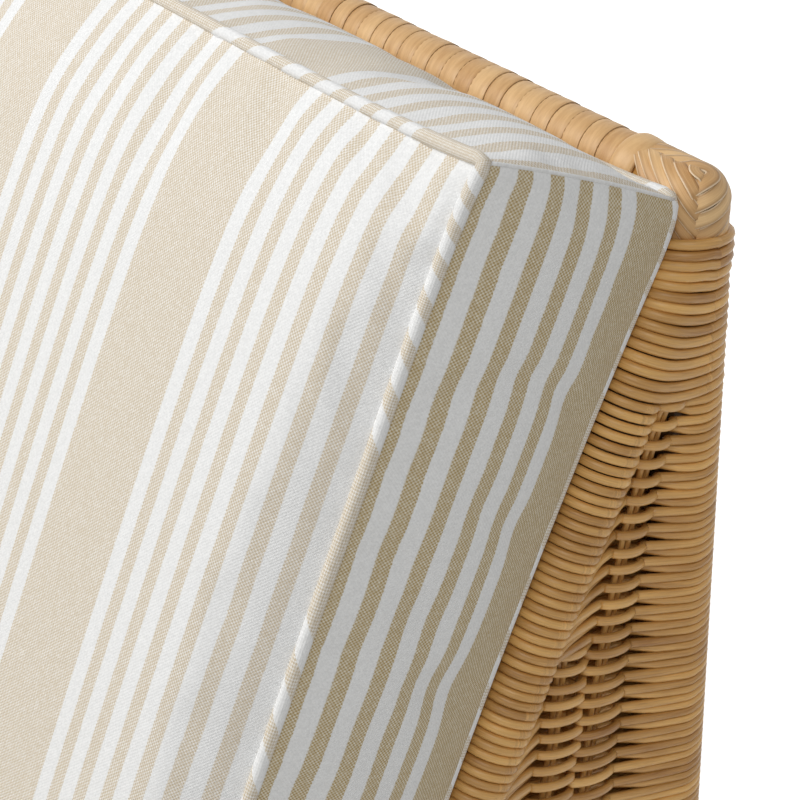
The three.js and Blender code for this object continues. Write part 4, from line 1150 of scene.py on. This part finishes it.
# %% [markdown]
# ## Inflating
# Cloth with a little pressure and no gravity pushes the panels out while the seam lines stay pinned. How far
# a point may move is capped, so that the cushion keeps the size it was sewn to. Only the result is kept.

# %% Inflate a cover
PRESSURE = 4.0
FRAMES = 20
SWELL_CAP = 2.5 * MM
# A negative shrink: the cloth is cut 1.2% larger than the form, so that it can swell.
CUT_LARGER = -0.012


def inflate(piece, pinned):
    mesh = piece.data
    before = np.zeros(len(mesh.vertices) * 3)
    mesh.vertices.foreach_get("co", before)
    group = piece.vertex_groups.new(name="seams")
    group.add(pinned, 1.0, "REPLACE")
    cloth = piece.modifiers.new("fill", "CLOTH")
    settings = cloth.settings
    settings.vertex_group_mass = "seams"
    settings.use_pressure = True
    settings.uniform_pressure_force = PRESSURE
    settings.effector_weights.gravity = 0
    settings.shrink_min = CUT_LARGER
    settings.tension_stiffness = 30
    settings.compression_stiffness = 30
    settings.bending_stiffness = 2.0
    settings.quality = 4
    cloth.point_cache.frame_end = FRAMES
    for step in range(1, FRAMES + 1):
        bpy.context.scene.frame_set(step)
    result = piece.evaluated_get(bpy.context.evaluated_depsgraph_get()).to_mesh()
    after = np.zeros(before.size)
    result.vertices.foreach_get("co", after)
    piece.modifiers.remove(cloth)
    piece.vertex_groups.remove(group)
    bpy.context.scene.frame_set(1)
    move = (after - before).reshape(-1, 3)
    size = np.linalg.norm(move, axis=1)
    limit = SWELL_CAP * np.tanh(size / SWELL_CAP) / np.maximum(size, 1e-9)
    mesh.vertices.foreach_set("co", before + (move * limit[:, None]).ravel())
    mesh.update()
    print(piece.name, "wanted to swell up to", round(size.max() / MM, 1), "mm")


print("swelling is capped at", SWELL_CAP / MM, "mm")

# %% [markdown]
# ## Piping
# The piping is a cord in a bias-cut strip of the same cloth, so its stripes run slantwise round it. It lies in
# the seam all the way round, on the same points as the cover's rim.

# %% Pipe a seam
PIPING_RADIUS = 3.6 * MM


def rim_loop(lookup, cells, w):
    nu, nv, _ = cells
    loop = [(u, 0, w) for u in range(nu)] + [(nu, v, w) for v in range(nv)]
    loop += [(u, nv, w) for u in range(nu, 0, -1)] + [(0, v, w) for v in range(nv, 0, -1)]
    middle = nu // 2
    return [lookup[step] for step in loop[middle:] + loop[:middle]]


def pipe_seam(name, path, replaced):
    mesh = strand_mesh(name, [path], PIPING_RADIUS, sides=10, closed=True)
    length = sum((b - a).length for a, b in zip(path, path[1:] + path[:1]))
    layer = mesh.uv_layers["UVMap"].data
    places = np.zeros(len(layer) * 2)
    layer.foreach_get("uv", places)
    places = places.reshape(-1, 2) * (length, 2 * math.pi * PIPING_RADIUS)
    slant = np.stack([places[:, 0] + places[:, 1], places[:, 0] - places[:, 1]], axis=1) / math.sqrt(2)
    layer.foreach_set("uv", slant.ravel())
    piece = finish_piece(name, mesh, fabric, [replaced])


print("piping", 2 * PIPING_RADIUS / MM, "mm")

# %% [markdown]
# ## Foam
# Inside each cover there is a block of foam, cut square with rounded edges. It hardly ever shows, so it is a
# bevelled cube that follows the cover's four corners from the side.

# %% Cut the foam
FOAM_INSET = 14 * MM
FOAM_ROUND = 12 * MM

# Polyurethane foam: pale yellow, open cells under a millimetre across, quite matt.
foam, tree, shader = start_material("open_cell_foam", Roughness=1.0)
coords = add(tree, "ShaderNodeTexCoord").outputs["Object"]
pores = add(tree, "ShaderNodeTexVoronoi", {"Vector": coords, "Scale": 900.0})
foam_colour = add(tree, MIX, {0: pores, 6: linear("#E9DFBC"), 7: linear("#F7F1DB")}, data_type="RGBA")
tree.links.new(foam_colour.outputs[2], shader.inputs["Base Color"])
bump = add(tree, BUMP, {"Height": pores, "Distance": 0.5 * MM})
tree.links.new(bump.outputs[0], shader.inputs["Normal"])


def foam_block(name, form, place, replaced):
    shape = bmesh.new()
    bmesh.ops.create_cube(shape, size=2)
    for vertex in shape.verts:
        u, v, w = vertex.co
        low = form["low_front"] if w > 0 else form["low_rear"]
        y = form["top"] - FOAM_INSET if v > 0 else low + FOAM_INSET
        step = math.copysign(FOAM_INSET, form["front"] - form["rear"])
        depth = form["front"] - step if w > 0 else form["rear"] + step
        vertex.co = place(Vector((u * (CUSHION_HALF - FOAM_INSET), y, depth)))
    bmesh.ops.bevel(shape, geom=list(shape.edges), offset=FOAM_ROUND, segments=3, profile=0.5,
                    affect="EDGES", material=-1)
    bmesh.ops.recalc_face_normals(shape, faces=shape.faces)
    mesh = bpy.data.meshes.new(name)
    shape.to_mesh(mesh)
    shape.free()
    piece = finish_piece(name, mesh, foam, [replaced])


print(foam.name, "rounded", FOAM_ROUND / MM, "mm")

# %% [markdown]
# ## A whole cushion
# The cover keeps its seam edges sharp with a crease, and one level of subdivision smooths the panels between
# them. Thin ridges of cloth, in the white of a stripe, cover the seams at the boxing's four corners.

# %% Put a cushion together
SEAM_RIDGE = 1 * MM
REAR_TUCK = 2.8 * MM


def sew_cover(name, shape, steps, cells):
    bmesh.ops.recalc_face_normals(shape, faces=shape.faces)
    crease = shape.edges.layers.float.new("crease_edge")
    at_end = (steps == 0) | (steps == np.array(cells))
    for edge in shape.edges:
        first, second = (at_end[v.index] for v in edge.verts)
        if (first & second).sum() >= 2:
            edge[crease] = 1.0
    for face in shape.faces:
        face.smooth = True
    mesh = bpy.data.meshes.new(name)
    shape.to_mesh(mesh)
    shape.free()
    mesh.materials.append(fabric)
    cover = bpy.data.objects.new(name, mesh)
    bpy.context.scene.collection.objects.link(cover)
    inflate(cover, [int(i) for i in np.nonzero(at_end.sum(axis=1) >= 2)[0]])
    refine = cover.modifiers.new("refine", "SUBSURF")
    refine.levels = refine.render_levels = 1
    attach(cover, "chair")
    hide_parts(f"{name}_cover")
    return mesh


def ridge_seams(name, mesh, lookup, cells, thickness):
    seams = [[mesh.vertices[lookup[(u, v, w)]].co.copy() for w in range(cells[2] + 1)]
             for u in (0, cells[0]) for v in (0, cells[1])]
    seam_mesh = strand_mesh(name, seams, SEAM_RIDGE, sides=6)
    for loop in seam_mesh.uv_layers["UVMap"].data:
        loop.uv = (STRIPE_START + STRIPE_WIDTH / 2, loop.uv[0] * thickness)
    finish_piece(name, seam_mesh, fabric, [])


def make_cushion(name, form, place, cells):
    shape, steps, points, lookup = sew_cushion(form, place, cells)
    lay_cloth(shape, steps, points, lookup, cells)
    mesh = sew_cover(name, shape, steps, cells)
    for end, w in (("upper", cells[2]), ("lower", 0)):
        rim = [mesh.vertices[index].co.copy() for index in rim_loop(lookup, cells, w)]
        if w == 0 and form["rear_sink"]:
            rim = [Vector((p.x * (1 - REAR_TUCK / CUSHION_HALF), p.y, p.z)) for p in rim]
        pipe_seam(f"{name}_welt_{end}", rim, f"{name}_piping_{end}")
    ridge_seams(f"{name}_box_seams", mesh, lookup, cells, form["front"] - form["rear"])
    foam_block(f"{name}_core", form, place, f"{name}_foam")
    print(name, "cover", len(mesh.polygons), "faces before refining")


print("the rear piping is tucked in by", REAR_TUCK / MM, "mm")

# %% [markdown]
# ## The back cushion
# It leans on the stiles and stands on the seat, so its foot is cut at the seat's angle. The crown was measured
# from the photograph: the face rises steeply just inside the side seam and slowly under the top seam.

# %% Sew the back cushion
CUSHION_CELLS = (84, 64, 16)


def in_back(point):
    return KNUCKLE + ACROSS * point[0] - STILE_DOWN * point[1] - STILE_FRONT * point[2]


back_form = {
    "rear": -29.7 * MM, "front": -151.1 * MM, "top": 13.5 * MM,
    "low_rear": -444.9 * MM, "low_front": -491.2 * MM, "rear_spread": 2.8 * MM, "rear_sink": 3 * MM,
    "crown": {"edge": 30.3 * MM, "edge_length": 17 * MM, "hill": 15 * MM, "top_length": 57 * MM,
              "low_length": 40 * MM},
    "rear_crown": {"edge": 3 * MM, "edge_length": 20 * MM, "hill": 1 * MM, "top_length": 40 * MM,
                   "low_length": 40 * MM},
}
make_cushion("back_cushion", back_form, in_back, CUSHION_CELLS)

# %% [markdown]
# ## The seat cushion
# It is made in the same way, lying on the deck. Its crown stops short of the strip that the back cushion
# stands on.

# %% Sew the seat cushion


def on_deck(point):
    return DECK_REAR + ACROSS * point[0] + DECK_FORWARD * point[1] + DECK_UP * point[2]


seat_form = {
    "rear": 3.95 * MM, "front": 125.0 * MM, "top": 583.0 * MM,
    "low_rear": 2.0 * MM, "low_front": 2.0 * MM, "rear_spread": 0.0, "rear_sink": 0.0,
    "crown": {"edge": 17 * MM, "edge_length": 20 * MM, "hill": 8 * MM, "top_length": 50 * MM,
              "low_length": 40 * MM, "flat": 104 * MM},
    "rear_crown": {"edge": 0.0, "edge_length": 20 * MM, "hill": 0.0, "top_length": 40 * MM,
                   "low_length": 40 * MM},
}
make_cushion("seat_cushion", seat_form, on_deck, CUSHION_CELLS)

# %% [markdown]
# ## Windings on the tubes
# Every tube that shows is wound with one long strand, turn against turn. That is a helix, and a helix is only
# a ring whose centre moves along the tube as it turns.

# %% Wind a tube
HELIX_STEPS = 12
HELIX_PITCH = 5.3 * MM


def helix(start, stop, first, second):
    turns = (stop - start).length / HELIX_PITCH
    count = int(turns * HELIX_STEPS)
    path = []
    for step in range(count + 1):
        angle = 2 * math.pi * step / HELIX_STEPS
        centre = start.lerp(stop, step / count)
        out = first * (WRAP_RADIUS * math.cos(angle)) + second * (WRAP_RADIUS * math.sin(angle))
        path.append(centre + out)
    return path


def rail_helix(middle, half, first):
    return helix(middle - ACROSS * half, middle + ACROSS * half, first, UPWARD)


print("helix pitch", HELIX_PITCH / MM, "mm")

# %% [markdown]
# ## The skirts
# Under the seat the sides and the front are woven too. The rows run level between the legs, over and under
# upright stakes, and those that meet the sloping seat rail end behind its winding.

# %% Lay the skirts' rows and stakes
SKIRT_DEPTH = 7 * MM
STAKE_PITCH = 42 * MM
PAIR_SHIFT = 2 * MM
ROW_LOW = RAIL_LOW_Z + 24 * MM
ROW_TOP = seat_rail_at(LEG_Y).z - 26 * MM
WAVE = STRAND_RADIUS + STAKE_RADIUS
WAVE_POWER = 0.8
EDGE_ZONE = 14 * MM
LEG_WRAP = math.radians(215)
LEG_RING_POINTS = 9
TUBE_CLEAR = 19 * MM
POST_MARGIN = 20 * MM
SKIRT_STAKES = 19


def flat_row(start, stop, out, depth, parity, edge=0.0):
    # A run from start to stop that waves round evenly spaced stakes. Where edge is given, it lies that far
    # out at its two ends.
    total = (stop - start).length
    count = max(4, int(round(total / STAKE_PITCH)) * 4)
    points = []
    for step in range(count + 1):
        s = total * step / count
        swing = math.cos(math.pi * (s / STAKE_PITCH + parity))
        height = depth + WAVE * math.copysign(abs(swing) ** WAVE_POWER, swing)
        near = max(blend_share(1 - s / EDGE_ZONE), blend_share(1 - (total - s) / EDGE_ZONE)) if edge else 0.0
        points.append(start.lerp(stop, step / count) + out * (height + (edge - height) * near))
    return points


def side_skirt_paths():
    rows, index, z = [], 0, ROW_LOW
    while z < ROW_TOP:
        leg = Vector((0, LEG_Y, z))
        post = on_post(KNUCKLE.z - z)
        rail_y = RAIL_LINE.y - (z + TUBE_CLEAR - RAIL_LINE.z) / math.tan(TILT)
        path = ring(leg, ACROSS, FRONTWARD, WRAP_RADIUS, LEG_WRAP, 0, LEG_RING_POINTS)[:-1]
        if rail_y > post.y - POST_MARGIN:
            path += flat_row(leg, post, ACROSS, SKIRT_DEPTH, index, edge=WRAP_RADIUS)
            path += ring(post, ACROSS, POST_REAR, WRAP_RADIUS, 0, LEG_WRAP, LEG_RING_POINTS)[1:]
        else:
            path += flat_row(leg, Vector((0, rail_y, z)), ACROSS, SKIRT_DEPTH, index)[1:]
        rows.append(path)
        index, z = index + 1, z + TURN_PITCH
    return rows


def side_skirt_stakes():
    stakes = []
    for step in range(SKIRT_STAKES):
        y = LEG_Y + (step + 1) * STAKE_PITCH
        for shift in (-PAIR_SHIFT, PAIR_SHIFT):
            low = Vector((SKIRT_DEPTH, y + shift, RAIL_LOW_Z))
            stakes.append([low, Vector((SKIRT_DEPTH, y + shift, seat_rail_at(y).z))])
    return stakes


skirt_rows, skirt_stakes = side_skirt_paths(), side_skirt_stakes()
print(len(skirt_rows), "rows and", len(skirt_stakes), "stakes in a side skirt")

# %% [markdown]
# ## The legs and rails of a side
# One piece holds all the windings of a side: seat rail, lower rail, and the leg and post above and below
# the woven rows. The feet are pieces of their own, as they are on the frame.

# %% Weave the side skirts
LEG_TOP = Vector((0, LEG_Y, 0.2836))
FOOT_LOW_Z = 0.0115
FOOT_TOP = 0.0535
FOOT_START = 2 * MM
WINDING_GAP = 3 * MM
LEG_WINDING = 24 * MM
POST_WINDING = (6 * MM, 42 * MM)
SEAT_RAIL_END = 0.395
LOW_RAIL_END = 0.402


def on_leg(z):
    return Vector((0, LEG_Y, z))


def on_post_at(z):
    return on_post(KNUCKLE.z - z)


for side, sign in SIDES.items():
    low_rail_start = Vector((0, LEG_Y + TUBE_CLEAR, RAIL_LOW_Z))
    windings = [
        helix(seat_rail_at(LEG_Y) - FRONTWARD * TUBE_CLEAR, seat_rail_at(SEAT_RAIL_END), ACROSS, DECK_UP),
        helix(low_rail_start, Vector((0, LOW_RAIL_END, RAIL_LOW_Z)), ACROSS, UPWARD),
        helix(on_leg(FOOT_TOP + WINDING_GAP), on_leg(ROW_LOW - WINDING_GAP), ACROSS, FRONTWARD),
        helix(on_post_at(FOOT_TOP + WINDING_GAP), on_post_at(ROW_LOW - WINDING_GAP), ACROSS, POST_REAR),
        helix(on_leg(seat_rail_at(LEG_Y).z - LEG_WINDING), LEG_TOP, ACROSS, FRONTWARD),
        helix(*(on_post(PANEL_LOW_POST + drop) for drop in POST_WINDING), ACROSS, POST_REAR),
    ]
    for part, paths, radius in (("winding", windings, STRAND_RADIUS), ("weave", skirt_rows, STRAND_RADIUS),
                                ("stakes", skirt_stakes, STAKE_RADIUS)):
        weave_piece(f"skirt_{part}_{side}", [outward(p, sign) for p in paths], radius, f"side_skirt_{side}")
    for end, place, out in (("front", on_leg, FRONTWARD), ("rear", on_post_at, POST_REAR)):
        foot = helix(place(FOOT_LOW_Z) + UPWARD * FOOT_START, place(FOOT_TOP), ACROSS, out)
        weave_piece(f"foot_winding_{end}_{side}", [outward(foot, sign)], STRAND_RADIUS,
                    f"foot_wrap_{end}_{side}")

# %% [markdown]
# ## Front skirt, outer back, inner back and deck
# These four are plain weave between two rails or two tubes. One function lays the rows and the stakes in any
# plane: it is given a corner, the directions along and across, and the direction that faces out. Rows that
# would run through a rail's winding are left out.

# %% Weave a flat panel
FRONT_HALF = 338.5 * MM
BACK_HALF = 336.5 * MM
DECK_HALF = 348 * MM
RAIL_CLEAR = 20 * MM


def flat_panel(name, top, down, length, face, depth, half, windings=(), skipped=()):
    rows, index = [], 0
    distance = TURN_PITCH / 2
    while distance < length:
        if not any(low < distance < high for low, high in skipped):
            middle = top + down * distance
            rows.append(flat_row(middle - ACROSS * half, middle + ACROSS * half, face, depth, index))
        index, distance = index + 1, distance + TURN_PITCH
    weave_piece(f"{name}_weave", rows, STRAND_RADIUS, name)
    stakes = []
    count = int(round(2 * half / STAKE_PITCH))
    for step in range(count):
        x = -half + (step + 0.5) * 2 * half / count
        for shift in (-PAIR_SHIFT, PAIR_SHIFT):
            start = top + ACROSS * (x + shift) + face * depth
            stakes.append([start, start + down * length])
    weave_piece(f"{name}_stakes", stakes, STAKE_RADIUS, name)
    if windings:
        weave_piece(f"{name}_windings", windings, STRAND_RADIUS, name)


print("widths in mm:", [2 * half / MM for half in (FRONT_HALF, BACK_HALF, DECK_HALF)])

# %% [markdown]
# ## The front skirt
# It hangs between the front seat rail and the lower front rail, and both rails are wound on their own.

# %% Weave the front skirt
front_rail, low_front = on_leg(seat_rail_at(LEG_Y).z), on_leg(RAIL_LOW_Z)
skirt_height = front_rail.z - low_front.z
flat_panel("front_skirt", front_rail, -UPWARD, skirt_height, FRONTWARD, SKIRT_DEPTH, FRONT_HALF,
           windings=[rail_helix(rail, FRONT_HALF, FRONTWARD) for rail in (front_rail, low_front)],
           skipped=((0, RAIL_CLEAR), (skirt_height - RAIL_CLEAR, skirt_height)))

# %% [markdown]
# ## The outer back
# It closes the frame between the two rear posts, from the top rail to the lower rear rail, and lies on the
# posts' rear side. The back rail crosses it half way down, so the weave stops above it and starts below it.

# %% Weave the outer back
BACK_RAIL_DROP = KNUCKLE.z - 0.2189
TOP_CLEAR = 23 * MM
OUTER_DEPTH = 9 * MM

back_rail, low_rear = on_post(BACK_RAIL_DROP), on_post_at(RAIL_LOW_Z)
back_length = (low_rear - TOP_RAIL).length
rail_place = (back_rail - TOP_RAIL).length
flat_panel("outer_back", TOP_RAIL, POST_DOWN, back_length, POST_REAR, OUTER_DEPTH, BACK_HALF,
           windings=[rail_helix(rail, BACK_HALF, POST_REAR) for rail in (back_rail, low_rear)],
           skipped=((0, TOP_CLEAR), (rail_place - RAIL_CLEAR, rail_place + RAIL_CLEAR),
                    (back_length - RAIL_CLEAR, back_length)))

# %% [markdown]
# ## The inner back and the deck
# They carry the cushions: the inner back lies on the front of the stiles and the deck on its two bearers.
# Between them, the seat's rear rail is wound like the others.

# %% Weave the inner back, the deck and the rear rail
INNER_TOP_DROP = 95 * MM
INNER_DEPTH = 14 * MM
DECK_REACH = 545 * MM
DECK_LENGTH = 540 * MM
DECK_DEPTH = -5.5 * MM
REAR_RAIL = Vector((0, 0.1533, 0.2377))

inner_top, inner_low = on_stile(INNER_TOP_DROP), on_stile(PANEL_LOW_STILE)
flat_panel("inner_back", inner_top, STILE_DOWN, (inner_low - inner_top).length, STILE_FRONT, INNER_DEPTH,
           BACK_HALF)
flat_panel("seat_deck", DECK_REAR + DECK_FORWARD * DECK_REACH, -DECK_FORWARD, DECK_LENGTH, DECK_UP, DECK_DEPTH,
           DECK_HALF)
weave_piece("rear_rail_winding", [rail_helix(REAR_RAIL, FRONT_HALF, FRONTWARD)], STRAND_RADIUS,
            "rear_rail_wrap")

# %% [markdown]
# ## The frame's own finishes
# The tubes, feet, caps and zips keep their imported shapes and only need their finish. A speckle of two near
# tones and a fine bump, at the size of each material's own grain, is enough for all four.

# %% Finish the frame


def speckle(name, base, second, scale, bump_distance, **values):
    material, tree, shader = start_material(name, **values)
    coords = add(tree, "ShaderNodeTexCoord").outputs["Object"]
    noise = add(tree, NOISE, {"Vector": coords, "Scale": scale, "Detail": 3.0})
    colour = add(tree, MIX, {0: noise, 6: linear(base), 7: linear(second)}, data_type="RGBA")
    tree.links.new(colour.outputs[2], shader.inputs["Base Color"])
    bump = add(tree, BUMP, {"Height": noise, "Distance": bump_distance, "Strength": 0.5})
    tree.links.new(bump.outputs[0], shader.inputs["Normal"])
    return material


# Powder-coated aluminium: a bronze paint with a fine orange-peel, half a millimetre across. The bronze is kept
# dark as painted shade, for the gaps between the strands that lie over the tubes.
powder = speckle("powder_coated_aluminium", "#5E4930", "#6B553A", 1800, 0.05 * MM, Roughness=0.5)
# Moulded polyamide: near black, with a faint moulded grain.
nylon = speckle("moulded_polyamide", "#262322", "#343130", 1200, 0.05 * MM, Roughness=0.48)
# Die-cast zinc with a brushed nickel plating: bright, with small flow marks.
zinc = speckle("nickel_plated_zinc", "#C2BEB4", "#A9A59B", 900, 0.02 * MM, Roughness=0.3, Metallic=1.0)
# Polyester zip tape: a matt ribbed ribbon in a sand colour.
tape = speckle("polyester_zip_tape", "#D9CDB4", "#C7B999", 1500, 0.1 * MM, Roughness=0.85)

# Every other node is a painted tube, or is hidden by the piece that stands for it.
FINISHES = {"glide": nylon, "leg_cap": nylon, "zip_slider": zinc, "zip_tab": zinc, "zip_tape": tape}
for node_name, node in nodes.items():
    chosen = next((m for word, m in FINISHES.items() if word in node_name), powder)
    node.data.materials.clear()
    node.data.materials.append(chosen)
print("finished", len(nodes), "frame nodes")
